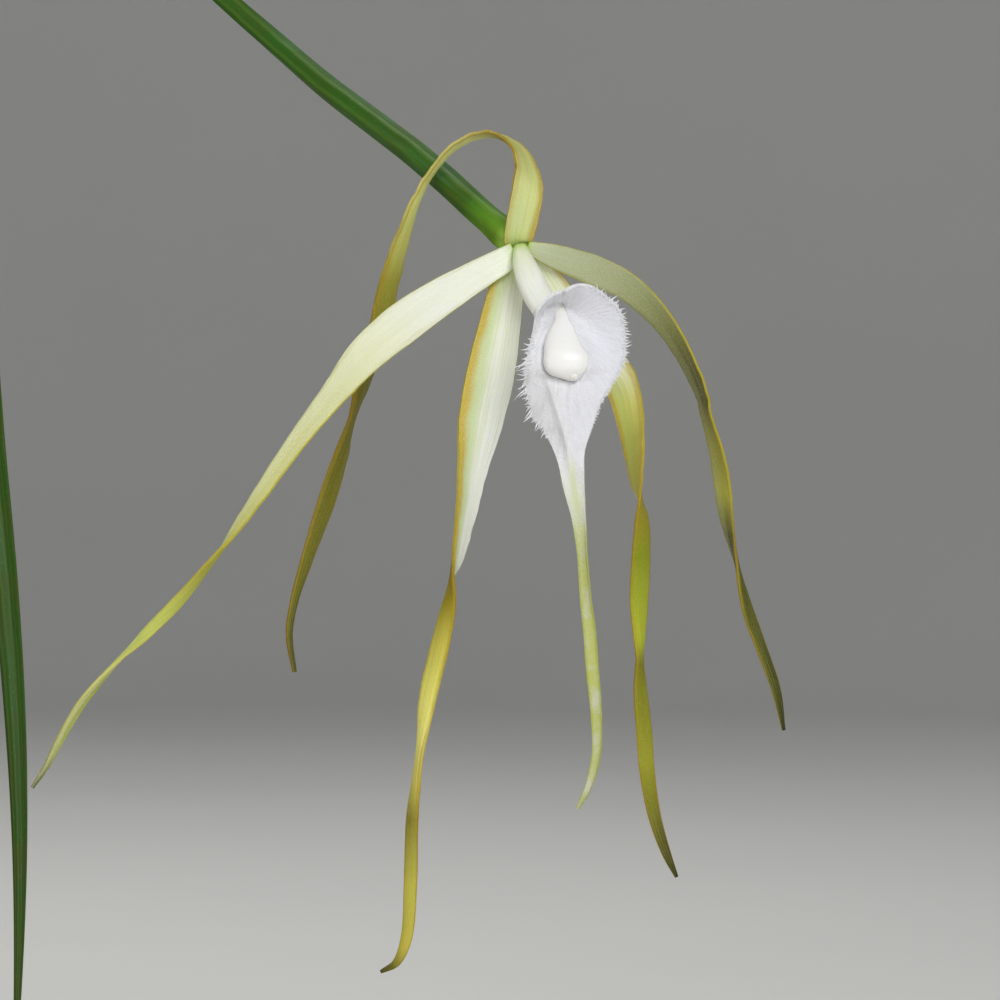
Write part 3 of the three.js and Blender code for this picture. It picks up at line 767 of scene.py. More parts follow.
@dataclass(frozen=True)
class RodFinish:
    """Fleshy green tissue of leaf, stem or stalk: a waxy skin with fine ridges and pale specks."""

    name: str
    stops: tuple[tuple[float, str], ...]
    flush: str
    flush_share: float
    ridges: int
    roughness: float = 0.36
    coat: float = 0.18

    def material(self) -> bpy.types.Material:
        """Returns the skin's material."""
        build = MaterialBuilder(self.name)
        ground = build.ramp(build.along, self.stops)
        mottle = build.noise(9.0, 4)
        ground = build.mixed(build.ranged(mottle, 0.42, 0.68, 0, self.flush_share), ground, self.flush)
        turn = build.math("MULTIPLY", build.across, self.ridges * 2 * math.pi)
        wander = build.math("MULTIPLY", build.noise(6.0, 2), 2.5)
        ridge = build.math("SINE", build.math("ADD", turn, wander))
        ground = build.mixed(build.ranged(ridge, -0.2, 1.0, 0, 0.14), ground, "#86a040")
        specks = build.cells(0.8)
        ground = build.mixed(build.ranged(specks, 0.0, 0.2, 0.22, 0), ground, "#a5bb70")
        normal = build.bump(ridge, 0.05, 0.7)
        normal = build.bump(build.noise(1.2, 4), 0.05, 0.5, normal)
        return build.dress(
            ground,
            build.ranged(mottle, 0.3, 0.7, self.roughness, self.roughness + 0.16),
            normal,
            Coat_Weight=self.coat,
            Coat_Roughness=0.35,
            **living(0.06, 1.0, (0.5, 1.0, 0.1)),
            Specular_IOR_Level=0.3,
        )


@dataclass(frozen=True)
class PaperFinish:
    """A dry papery sheath: straw-coloured fibre, veined lengthwise, greyed and split by age."""

    name: str = "papery_sheath"
    straw: str = "#c8b58e"
    stain: str = "#8f7450"
    grey: str = "#d9d3c2"

    def material(self) -> bpy.types.Material:
        """Returns the paper's material."""
        build = MaterialBuilder(self.name)
        veins = build.noise(1, 3, build.stretched(0.034, 0.002))
        ground = build.mixed(build.ranged(veins, 0.42, 0.62), self.straw, self.grey)
        stains = build.noise(6.0, 5)
        ground = build.mixed(build.ranged(stains, 0.5, 0.72, 0, 0.8), ground, self.stain)
        mouth = build.ranged(build.along, 0.0, 0.16, 0.55, 0)
        ground = build.mixed(mouth, ground, "#6f5638")
        normal = build.bump(veins, 0.14)
        normal = build.bump(build.noise(2.2, 3), 0.2, 0.6, normal)
        return build.dress(ground, 0.74, normal, Specular_IOR_Level=0.3)


@dataclass(frozen=True)
class VelamenFinish:
    """A living root's spongy coat: silvery white when dry, with green patches and a green tip."""

    name: str = "root_velamen"

    def material(self) -> bpy.types.Material:
        """Returns the root coat's material."""
        build = MaterialBuilder(self.name)
        patches = build.noise(4.5, 5)
        ground = build.mixed(build.ranged(patches, 0.48, 0.7, 0, 0.75), "#cfd0c4", "#93a07c")
        stains = build.noise(2.0, 4)
        ground = build.mixed(build.ranged(stains, 0.6, 0.8, 0, 0.6), ground, "#8b7455")
        tip = build.ranged(build.along, 0.9, 0.965)
        ground = build.mixed(tip, ground, "#7f9a3e")
        grain = build.noise(0.7, 3)
        return build.dress(ground, 0.85, build.bump(grain, 0.12, 0.7), Sheen_Weight=0.1)


@dataclass(frozen=True)
class RhizomeFinish:
    """Old woody rhizome: grey-brown with green skin between the rings of its dead scales."""

    name: str = "rhizome_skin"

    def material(self) -> bpy.types.Material:
        """Returns the rhizome's material."""
        build = MaterialBuilder(self.name)
        mottle = build.noise(4.0, 5)
        ground = build.mixed(build.ranged(mottle, 0.4, 0.65), "#6a6136", "#5b452c")
        rings = build.math("SINE", build.math("MULTIPLY", build.along, 28 * 2 * math.pi))
        ground = build.mixed(build.ranged(rings, 0.55, 1.0, 0, 0.7), ground, "#a3885c")
        fibre = build.noise(1, 4, build.stretched(0.03, 0.006))
        return build.dress(ground, 0.82, build.bump(fibre, 0.3, 0.8, build.bump(rings, 0.25)))


@dataclass(frozen=True)
class TerracottaFinish:
    """Thrown and fired clay: matt orange-brown with a sandy grain, turning marks and lime bloom."""

    name: str = "terracotta"
    clay: str = "#ad6846"
    dark: str = "#96502f"
    bloom: str = "#d6b9a1"

    def material(self) -> bpy.types.Material:
        """Returns the clay's material."""
        build = MaterialBuilder(self.name)
        cloud = build.noise(28.0, 5)
        ground = build.mixed(build.ranged(cloud, 0.35, 0.65), self.clay, self.dark)
        height = add_node(build.tree, "SeparateXYZ", inputs={0: build.place}).outputs["Z"]
        turning = build.noise(16.0, 4, build.layered(14.0))
        ground = build.mixed(build.ranged(turning, 0.45, 0.7, 0, 0.3), ground, "#c47a51")
        lime = build.math("MULTIPLY", build.noise(9.0, 9), build.ranged(height, 0.0, 0.05, 1.12, 1.0))
        ground = build.mixed(build.ranged(lime, 0.5, 0.88, 0, 0.42), ground, self.bloom)
        level = build.math("ADD", height, build.math("MULTIPLY", cloud, 0.03))
        damp = build.ranged(level, 0.012, 0.034, 0.5, 0)
        ground = build.mixed(damp, ground, "#6d4631")
        grit = build.noise(0.9, 4)
        ground = build.mixed(build.ranged(grit, 0.62, 0.74, 0, 0.5), ground, "#7f4527")
        normal = build.bump(turning, 0.35, 0.5)
        normal = build.bump(grit, 0.12, 0.5, normal)
        return build.dress(ground, build.ranged(lime, 0.4, 0.7, 0.82, 0.95), normal, Specular_IOR_Level=0.35)


@dataclass(frozen=True)
class BarkFinish:
    """Orchid bark: chips of conifer bark in corky layers, from red-brown to grey, each its own tone."""

    name: str = "orchid_bark"

    def material(self) -> bpy.types.Material:
        """Returns the bark's material."""
        build = MaterialBuilder(self.name)
        tone = add_node(build.tree, "Attribute", {"attribute_name": "tone"}).outputs["Fac"]
        ground = build.ramp(tone, (
            (0.0, "#4a3020"), (0.35, "#6e4a30"), (0.6, "#85593a"), (0.8, "#94704f"), (1.0, "#5d4a3a"),
        ))
        corky = build.noise(5.0, 6, build.layered(5.0))
        ground = build.mixed(build.ranged(corky, 0.46, 0.62, 0, 0.7), ground, "#3a2517")
        dust = build.noise(1.6, 5)
        ground = build.mixed(build.ranged(dust, 0.56, 0.75, 0, 0.55), ground, "#b08d68")
        normal = build.bump(corky, 0.9, 0.9)
        normal = build.bump(dust, 0.3, 0.7, normal)
        return build.dress(ground, 0.92, normal, Specular_IOR_Level=0.25)


@dataclass(frozen=True)
class StageFinish:
    """The studio's floor: plain pale matt paint."""

    name: str = "pale_paint"
    colour: str = "#dddcd8"

    def material(self) -> bpy.types.Material:
        """Returns the paint's material."""
        build = MaterialBuilder(self.name)
        cloud = build.noise(300.0, 2)
        ground = build.mixed(build.ranged(cloud, 0.3, 0.7, 0, 0.25), self.colour, "#d5d4d1")
        return build.dress(ground, 0.85, Specular_IOR_Level=0.2)


@dataclass
class ClayPot:
    """The pot: a wall of fired clay with a thick rim band, a floor and drain holes."""

    height: float = 105
    base_radius: float = 41
    body_top_radius: float = 54
    rim_radius: float = 60
    rim_height: float = 21
    floor: float = 8
    inner_base_radius: float = 35
    inner_top_radius: float = 53
    segments: int = 120
    hole_count: int = 3
    hole_radius: float = 5
    hole_ring: float = 19
    edge: float = 0.9

    def inner_radius(self, height: float) -> float:
        """Returns the inner wall's radius at that height."""
        share = (height - self.floor) / (self.height - self.floor)
        return mix(self.inner_base_radius, self.inner_top_radius, share)

    def profile(self) -> list[tuple[float, float]]:
        """Returns the wall's section as radius and height, from the foot's middle to the floor's."""
        band = self.height - self.rim_height
        outside = [
            (0, 0), (self.base_radius - 2, 0), (self.base_radius, 2), (self.body_top_radius, band),
            (self.rim_radius - 1.5, band + 0.5), (self.rim_radius - 0.5, band + 2),
            (self.rim_radius, self.height - 2), (self.rim_radius - 2, self.height),
        ]
        inside = [
            (self.inner_top_radius + 1.5, self.height), (self.inner_radius(self.height - 2), self.height - 2),
            (self.inner_base_radius, self.floor), (0, self.floor),
        ]
        return outside + inside

    def build(self) -> None:
        """Turns the wall, rounds its edges, bores its holes and dresses it."""
        pot = shaped_grid("clay_pot", turned_grid(self.profile(), self.segments), closed=True, smooth=35)
        apply_modifier(
            pot, "BEVEL", width=self.edge * MM, segments=3, limit_method="ANGLE", angle_limit=math.radians(18)
        )
        for i in range(self.hole_count):
            self.bore(pot, 2 * math.pi * (i + 0.5) / self.hole_count)
        smoothed(pot, 35)
        put_material(pot, TerracottaFinish().material())
        finish_piece(pot, "terracotta", "pot")

    def bore(self, pot: bpy.types.Object, angle: float) -> None:
        """Bores one drain hole through the floor.

        Args:
            pot: the turned pot.
            angle: where the hole stands on its ring.
        """
        deselect()
        bpy.ops.mesh.primitive_cylinder_add(
            vertices=32,
            radius=self.hole_radius * MM,
            depth=3 * self.floor * MM,
            location=(self.hole_ring * MM * math.cos(angle), self.hole_ring * MM * math.sin(angle), 0),
        )
        drill = bpy.context.object
        apply_modifier(pot, "BOOLEAN", object=drill, operation="DIFFERENCE", solver="EXACT")
        bpy.data.objects.remove(drill)


class ChipDice:
    """The source's repeatable random numbers, so that the chips lie as they do there."""

    def __init__(self, seed: int) -> None:
        """Starts from a seed."""
        self.state = seed

    def roll(self) -> float:
        """Returns the next number from 0 to 1."""
        self.state = (self.state * 16807) % 2147483647
        return self.state / 2147483647


@dataclass
class BarkBed:
    """The potting mix: bark chips laid by a seeded rule over a bed of crumbs."""

    pot: ClayPot
    top: float = 90
    mound: float = 3
    chips: int = 54
    seed: int = 11
    margin: float = 6.4
    unevenness: float = 1.2
    tilt: float = 0.5
    chip_length: float = 16
    chip_width: float = 12
    chip_thickness: float = 7
    small_chips: int = 150
    rough: float = 0.1
    crumb: float = 1.3
    bed_sides: int = 64

    def build(self) -> None:
        """Lays the bed, the chips and the small chips, and joins them."""
        dice = ChipDice(self.seed)
        edge = self.pot.inner_radius(self.top) - self.margin
        golden = math.pi * (3 - math.sqrt(5))
        pieces = [self.bed()]
        block, sliver = self.model(3), self.model(1)
        for i in range(self.chips):
            radius = edge * math.sqrt((i + 0.5) / self.chips)
            angle = i * golden + 0.3 * dice.roll()
            place = self.seat(radius, angle, edge, self.unevenness * (dice.roll() - 0.4))
            size = [length * (0.7 + 0.5 * dice.roll()) for length in (self.chip_length, self.chip_width)]
            shifts = [0.7 + 0.3 * dice.roll() for _ in range(8)]
            tilts = [self.tilt * (dice.roll() - 0.5) for _ in range(2)]
            turn = Euler((*tilts, 2 * math.pi * dice.roll()), "ZYX")
            pieces.append(self.chip(block, i, place, (*size, self.chip_thickness), shifts, turn))
        rng = random.Random(self.seed)
        for i in range(self.small_chips):
            radius = (edge + 3.5) * math.sqrt(rng.random())
            angle = rng.uniform(0, 2 * math.pi)
            place = self.seat(radius, angle, edge, rng.uniform(-0.5, 2.6))
            length = rng.uniform(3.0, 8.0)
            size = (length, length * rng.uniform(0.45, 0.9), rng.uniform(1.2, 3.0))
            shifts = [rng.uniform(0.65, 1.0) for _ in range(8)]
            turn = Euler((rng.uniform(-0.6, 0.6), rng.uniform(-0.6, 0.6), rng.uniform(0, 2 * math.pi)))
            pieces.append(self.chip(sliver, 100 + i, place, size, shifts, turn))
        for model in (block, sliver):
            bpy.data.objects.remove(model)
        bark = joined("bark_chips", pieces)
        put_material(bark, BarkFinish().material())
        finish_piece(bark, "bark", "potting_bark")

    def seat(self, radius: float, angle: float, edge: float, lift: float) -> Vector:
        """Returns a place on the mound, whose foot is at the edge, raised by a lift."""
        height = self.top + self.mound * (1 - radius / edge) + lift
        return Vector((radius * math.cos(angle), radius * math.sin(angle), height))

    def bed(self) -> bpy.types.Object:
        """Returns the crumbly bed under the chips, with its side against the pot's wall."""
        foot = self.pot.floor + CAD_GAP
        wall = [(0, foot), (self.pot.inner_radius(foot) - CAD_GAP, foot)]
        rim = self.pot.inner_radius(self.top) - CAD_GAP
        slope = [(rim * (1 - k / 14), self.top + self.mound * k / 14 - 0.6) for k in range(15)]
        profile = [*wall, *slope]
        grid = turned_grid(profile, self.bed_sides)
        for (radius, height), row in zip(profile, grid):
            if 0 < radius < rim and height > self.top - 1:
                for point in row:
                    point.z += self.crumb * noise.noise(point * 0.35)
        bed = shaped_grid("bed", grid, closed=True, smooth=20)
        self.tone(bed, 0.1)
        return bed

    def model(self, cuts: int) -> bpy.types.Object:
        """Returns a unit block with broken edges, cut into cuts + 1 parts each way."""
        deselect()
        bpy.ops.mesh.primitive_cube_add(size=1)
        block = bpy.context.object
        apply_modifier(block, "BEVEL", width=0.09, segments=1, limit_method="NONE")
        bpy.ops.object.mode_set(mode="EDIT")
        bpy.ops.mesh.select_all(action="SELECT")
        bpy.ops.mesh.subdivide(number_cuts=cuts)
        bpy.ops.object.mode_set(mode="OBJECT")
        return block

    def chip(
        self,
        model: bpy.types.Object,
        number: int,
        place: Vector,
        size: tuple[float, float, float],
        shifts: list[float],
        turn: Euler,
    ) -> bpy.types.Object:
        """Copies a block and gives it its size, uneven corners, corky faces and place.

        Args:
            model: the block.
            number: what seeds its own roughness and tone.
            place: its middle, in millimetres.
            size: its length, width and thickness.
            shifts: how far each of its corners is drawn in.
            turn: its turn.

        Returns:
            The chip's object.
        """
        chip = copied(model)
        seat = turn.to_matrix()
        own = Vector((number * 3.7, number * 1.3, 0))
        for vertex in chip.data.vertices:
            share = vertex.co + Vector((0.5, 0.5, 0.5))
            drawn = 0.0
            for corner, shift in enumerate(shifts):
                near = [share[axis] if corner >> axis & 1 else 1 - share[axis] for axis in range(3)]
                drawn += shift * near[0] * near[1] * near[2]
            point = Vector([vertex.co[axis] * size[axis] for axis in range(3)]) * drawn
            lump = noise.noise(point * 0.3 + own) + 0.6 * noise.noise(point * 0.8 + own)
            point *= 1 + self.rough * lump
            vertex.co = (seat @ point + place) * MM
        self.tone(chip, random.Random(number).random())
        return chip

    def tone(self, piece: bpy.types.Object, value: float) -> None:
        """Writes the tone that a piece's material reads on all its faces' points."""
        attribute = piece.data.attributes.new("tone", "FLOAT", "POINT")
        attribute.data.foreach_set("value", [value] * len(piece.data.vertices))


@dataclass
class Rhizome:
    """The creeping rhizome along the bark, which the stems stand on."""

    points: tuple[Row, ...] = ((-37, 5, 94), (-19, -3, 94.6), (0, 3, 95), (19, -2, 94.6), (37, 4, 94))
    radius: float = 2.9
    knob: float = 0.35
    knobs: int = 14
    steps: int = 150
    sides: int = 24

    def curve(self) -> SmoothCurve:
        """Returns its middle line."""
        return SmoothCurve([Vector(p) for p in self.points])

    def build(self) -> None:
        """Sweeps the rhizome with its knobs and ring scars, and dresses it."""

        def radius_at(share: float, angle: float) -> float:
            """Returns the radius with its knobs, scars and rounded ends."""
            end = math.sqrt(max(0.12, 1 - (2 * share - 1) ** 12))
            knob = self.knob * math.sin(share * self.knobs * math.pi) ** 2
            scar = 0.16 * max(0.0, math.sin(share * 28 * 2 * math.pi)) ** 6
            dent = 0.12 * noise.noise(Vector((share * 30, math.cos(angle), math.sin(angle))))
            return (self.radius + knob) * end + (scar + dent) * end

        grid = rod_grid(self.curve(), self.steps, self.sides, radius_at, Vector((0, 0, 1)))
        rhizome = shaped_grid("creeping_rhizome", grid, closed=True)
        put_material(rhizome, RhizomeFinish().material())
        finish_piece(rhizome, "rhizome_bark", "rhizome")


@dataclass
class AerialRoots:
    """Pale roots over the bark, two of them on over the pot's rim."""

    routes: tuple[tuple[Row, ...], ...] = (
        (
            (-24, -6.5, 94.5), (-28, -18, 98), (-28.5, -31, 99.5), (-30, -39.5, 103.5), (-32.5, -44.5, 106.7),
            (-34, -48.5, 106.7), (-35.5, -50.8, 104.5), (-36, -51.3, 98), (-35.6, -51, 84),
        ),
        ((26, -5.5, 94.5), (33, -16, 98.2), (34, -30, 97.8), (24, -40, 97), (15, -44, 96)),
        (
            (8, 7, 95), (14, 20, 98.5), (28, 30, 99), (36, 33, 103.6), (41.5, 36.5, 107), (45, 39.3, 106.7),
            (47, 41, 104.3), (47.5, 41.3, 97), (47.2, 41, 78),
        ),
    )
    radius: float = 1.3
    tip_radius: float = 0.8
    steps: int = 110
    sides: int = 16

    def build(self) -> None:
        """Sweeps each root and dresses it."""
        material = VelamenFinish().material()
        for i, route in enumerate(self.routes):

            def radius_at(share: float, angle: float, seed: int = i) -> float:
                """Returns the radius with its lumps and its rounded tip."""
                body = mix(self.radius, self.tip_radius, share)
                place = Vector((share * 22 + 9 * seed, math.cos(angle), math.sin(angle)))
                lump = 1 + 0.07 * noise.noise(place)
                tip = math.sqrt(max(0.0, 1 - max(0.0, (share - 0.985) / 0.015) ** 2))
                return body * lump * max(tip, 0.05)

            shares = [k / self.steps for k in range(self.steps)] + [0.993, 0.997, 0.9995, 1.0]
            curve = SmoothCurve([Vector(p) for p in route])
            grid = rod_grid(curve, self.steps, self.sides, radius_at, Vector((0, 0, 1)), shares)
            root = shaped_grid(f"pale_root_{i + 1}", grid, closed=True)
            put_material(root, material)
            finish_piece(root, "root_velamen", f"aerial_root_{i + 1}")


@dataclass
class Stems:
    """The slender stems, with nodes and papery sheaths, each bearing one leaf."""

    rhizome: Rhizome
    rows: tuple[Row, ...] = (
        (0.05, 66, -13, -3), (0.20, 80, -9, 9), (0.35, 72, -6, -10), (0.50, 90, -3, 8), (0.64, 78, 3, -12),
        (0.80, 101, 4, 2), (0.95, 74, 9, 7),
    )
    radius: float = 1.7
    top_radius: float = 2.1
    bow: float = 0.18
    joints: tuple[float, ...] = (0, 0.33, 0.66, 1)
    cover: float = 0.86
    sheath_gap: float = 0.16
    sheath_wall: float = 0.28
    flare: float = 0.75
    slant: float = 2.2
    rows_each: int = 30
    sides: int = 28
    stem_rows: int = 120
    stem_sides: int = 20

    def curves(self) -> list[SmoothCurve]:
        """Returns each stem's middle line, from the rhizome up."""
        line = self.rhizome.curve()
        seat = self.rhizome.radius + self.rhizome.knob + CAD_GAP
        curves = []
        for place, height, across, back in self.rows:
            base = line.at(line.share_at(place)) + Vector((0, 0, seat))
            top = base + Vector((across, back, height))
            middle = base.lerp(top, 0.5) - self.bow * Vector((across, back, 0))
            curves.append(SmoothCurve([base, middle, top]))
        return curves

    def build(self) -> None:
        """Builds every stem and its sheaths."""
        stem_skin = RodFinish(
            "stem_skin",
            ((0.0, "#7c7a3c"), (0.3, "#6f7f3a"), (0.85, "#617a30"), (1.0, "#6b8a33")),
            "#8a5a3c", 0.35, 9, 0.45, 0.08,
        ).material()
        paper = PaperFinish().material()
        for i, curve in enumerate(self.curves()):
            self.stem(i, curve, stem_skin)
            self.sheaths(i, curve, paper)

    def stem(self, i: int, curve: SmoothCurve, skin: bpy.types.Material) -> None:
        """Sweeps one stem with a swelling at each node.

        Args:
            i: its number from 0.
            curve: its middle line.
            skin: its material.
        """
        nodes = [joint * self.cover for joint in self.joints[1:]]

        def radius_at(share: float, angle: float) -> float:
            """Returns the radius with its nodes and its ring at the top."""
            body = mix(self.radius - 0.08, self.top_radius - 0.1, smoothstep(0.86, 0.95, share))
            swell = sum(0.22 * math.exp(-(((share - node) / 0.012) ** 2)) for node in nodes)
            groove = 0.12 * math.exp(-(((share - 0.965) / 0.006) ** 2))
            return body + min(swell, 0.1 if share < self.cover - 0.02 else 0.2) - groove

        grid = rod_grid(curve, self.stem_rows, self.stem_sides, radius_at, Vector((1, 0, 0)))
        stem = shaped_grid(f"slender_stem_{i + 1}", grid, closed=True)
        put_material(stem, skin)
        finish_piece(stem, "stem_green", f"stem_{i + 1}")

    def sheaths(self, i: int, curve: SmoothCurve, paper: bpy.types.Material) -> None:
        """Wraps three papery sleeves round one stem, each with a slanting wavy mouth.

        Args:
            i: the stem's number from 0.
            curve: the stem's middle line.
            paper: the sheaths' material.
        """
        rng = random.Random(40 + i)
        sleeves = []
        for k, (low, high) in enumerate(zip(self.joints, self.joints[1:])):
            lean = rng.uniform(0, 2 * math.pi)
            start, end = max(low - 0.004, 0.012) * self.cover, (high + 0.012) * self.cover
            shares = [mix(start, end, r / self.rows_each) for r in range(self.rows_each + 1)]
            grid = []
            for r, (centre, side, way) in enumerate(transported_frames(curve, shares, Vector((1, 0, 0)))):
                up = r / self.rows_each
                ring = []
                for s in range(self.sides + 1):
                    angle = 2 * math.pi * (s % self.sides) / self.sides
                    place = Vector((2.2 * math.cos(angle), 2.2 * math.sin(angle), 6 * up + 7 * k + i))
                    wrinkle = noise.noise(place)
                    flare = self.flare * smoothstep(0.72, 1.0, up) * (0.6 + 0.5 * math.cos(angle - lean))
                    radius = self.radius + self.sheath_gap + self.sheath_wall + 0.12 * k
                    radius += flare + 0.16 * wrinkle * smoothstep(0.05, 0.5, up)
                    fall = self.slant * (math.cos(angle - lean) - 1) + 0.5 * wrinkle
                    point = ring_point(centre, side, way, radius, angle)
                    ring.append(point + way * (fall * smoothstep(0.7, 1.0, up)))
                grid.append(ring)
            sleeve = shaped_grid("sleeve", grid, closed=True)
            apply_modifier(sleeve, "SOLIDIFY", thickness=self.sheath_wall * MM, offset=-1.0)
            sleeves.append(sleeve)
        sheath = joined(f"papery_sheaths_{i + 1}", sleeves)
        put_material(sheath, paper)
        finish_piece(sheath, "papery_sheath", f"stem_sheaths_{i + 1}")


@dataclass
class Leaves:
    """The rod-like leaves, one from each stem's top, which rise, arch over and hang."""

    stems: Stems
    rows: tuple[Row, ...] = (
        (-98, 14, 26, 52), (-62, 84, 24, 38), (-58, -76, 26, 44), (-6, 100, 24, 30), (14, -92, 22, 36),
        (97.8, -45, 26, 34), (66, 82, 24, 46),
    )
    gap: float = 0.45
    radius: float = 2.15
    tip_radius: float = 0.45
    foot: float = 0.07
    taper_from: float = 0.45
    groove: float = 0.30
    steps: int = 190
    sides: int = 28

    def curve(self, stem: SmoothCurve, row: Row) -> SmoothCurve:
        """Returns one leaf's middle line from its stem's top.

        Args:
            stem: the stem's middle line.
            row: where the leaf hangs, across and back, its rise and its tip's height.

        Returns:
            The line.
        """
        across, back, rise, tip_height = row
        way = stem.way(1.0)
        start = stem.at(1.0) + way * self.gap
        reach = Vector((across - start.x, back - start.y, 0))
        drop = start.z - tip_height

        def on(share: float, height: float) -> Vector:
            """Returns a point over the way to where the leaf hangs."""
            point = start + reach * share
            point.z = height
            return point

        return SmoothCurve([
            start, start + way * 7 + reach * 0.03, on(0.28, start.z + 0.85 * rise), on(0.58, start.z + rise),
            on(0.82, start.z + 0.35 * rise), on(0.945, start.z - 0.29 * drop), on(1.0, start.z - 0.60 * drop),
            on(0.97, tip_height),
        ])

    def build(self) -> None:
        """Sweeps each leaf with its groove and dresses it."""
        skin = RodFinish(
            "leaf_skin",
            ((0.0, "#5c7a22"), (0.06, "#3c6812"), (0.4, "#2a5408"), (0.8, "#244c06"), (0.97, "#3c5210"),
             (1.0, "#7a6a3a")),
            "#4a4214", 0.35, 11, 0.42, 0.06,
        ).material()
        for i, (stem, row) in enumerate(zip(self.stems.curves(), self.rows)):
            curve = self.curve(stem, row)

            def radius_at(share: float, angle: float, seed: int = i) -> float:
                """Returns the radius with its narrow foot, its taper and its groove."""
                foot = smoothstep(-self.foot, self.foot, share)
                taper = 1 - smoothstep(self.taper_from, 1, share) ** 1.4
                tip = self.tip_radius * math.sqrt(min(1.0, max(0.0, (1 - share) / 0.01)))
                body = max(tip, self.radius * foot * taper)
                turn = min(angle, 2 * math.pi - angle)
                groove = self.groove * math.exp(-((turn / 0.42) ** 2)) * smoothstep(0.0, 0.06, share)
                lips = 0.05 * math.exp(-(((turn - 0.75) / 0.3) ** 2))
                place = Vector((share * 26 + 5 * seed, 2 * math.cos(angle), 2 * math.sin(angle)))
                lump = 1 + 0.02 * noise.noise(place)
                return max(body, 0.05) * (1 - groove + lips) * lump

            reach = Vector((row[0], row[1], 0)) - curve.at(0)
            reach.z = 0
            grid = rod_grid(curve, self.steps, self.sides, radius_at, -reach.normalized())
            leaf = shaped_grid(f"rod_leaf_{i + 1}", grid, closed=True)
            put_material(leaf, skin)
            finish_piece(leaf, "leaf_green", f"leaf_{i + 1}")


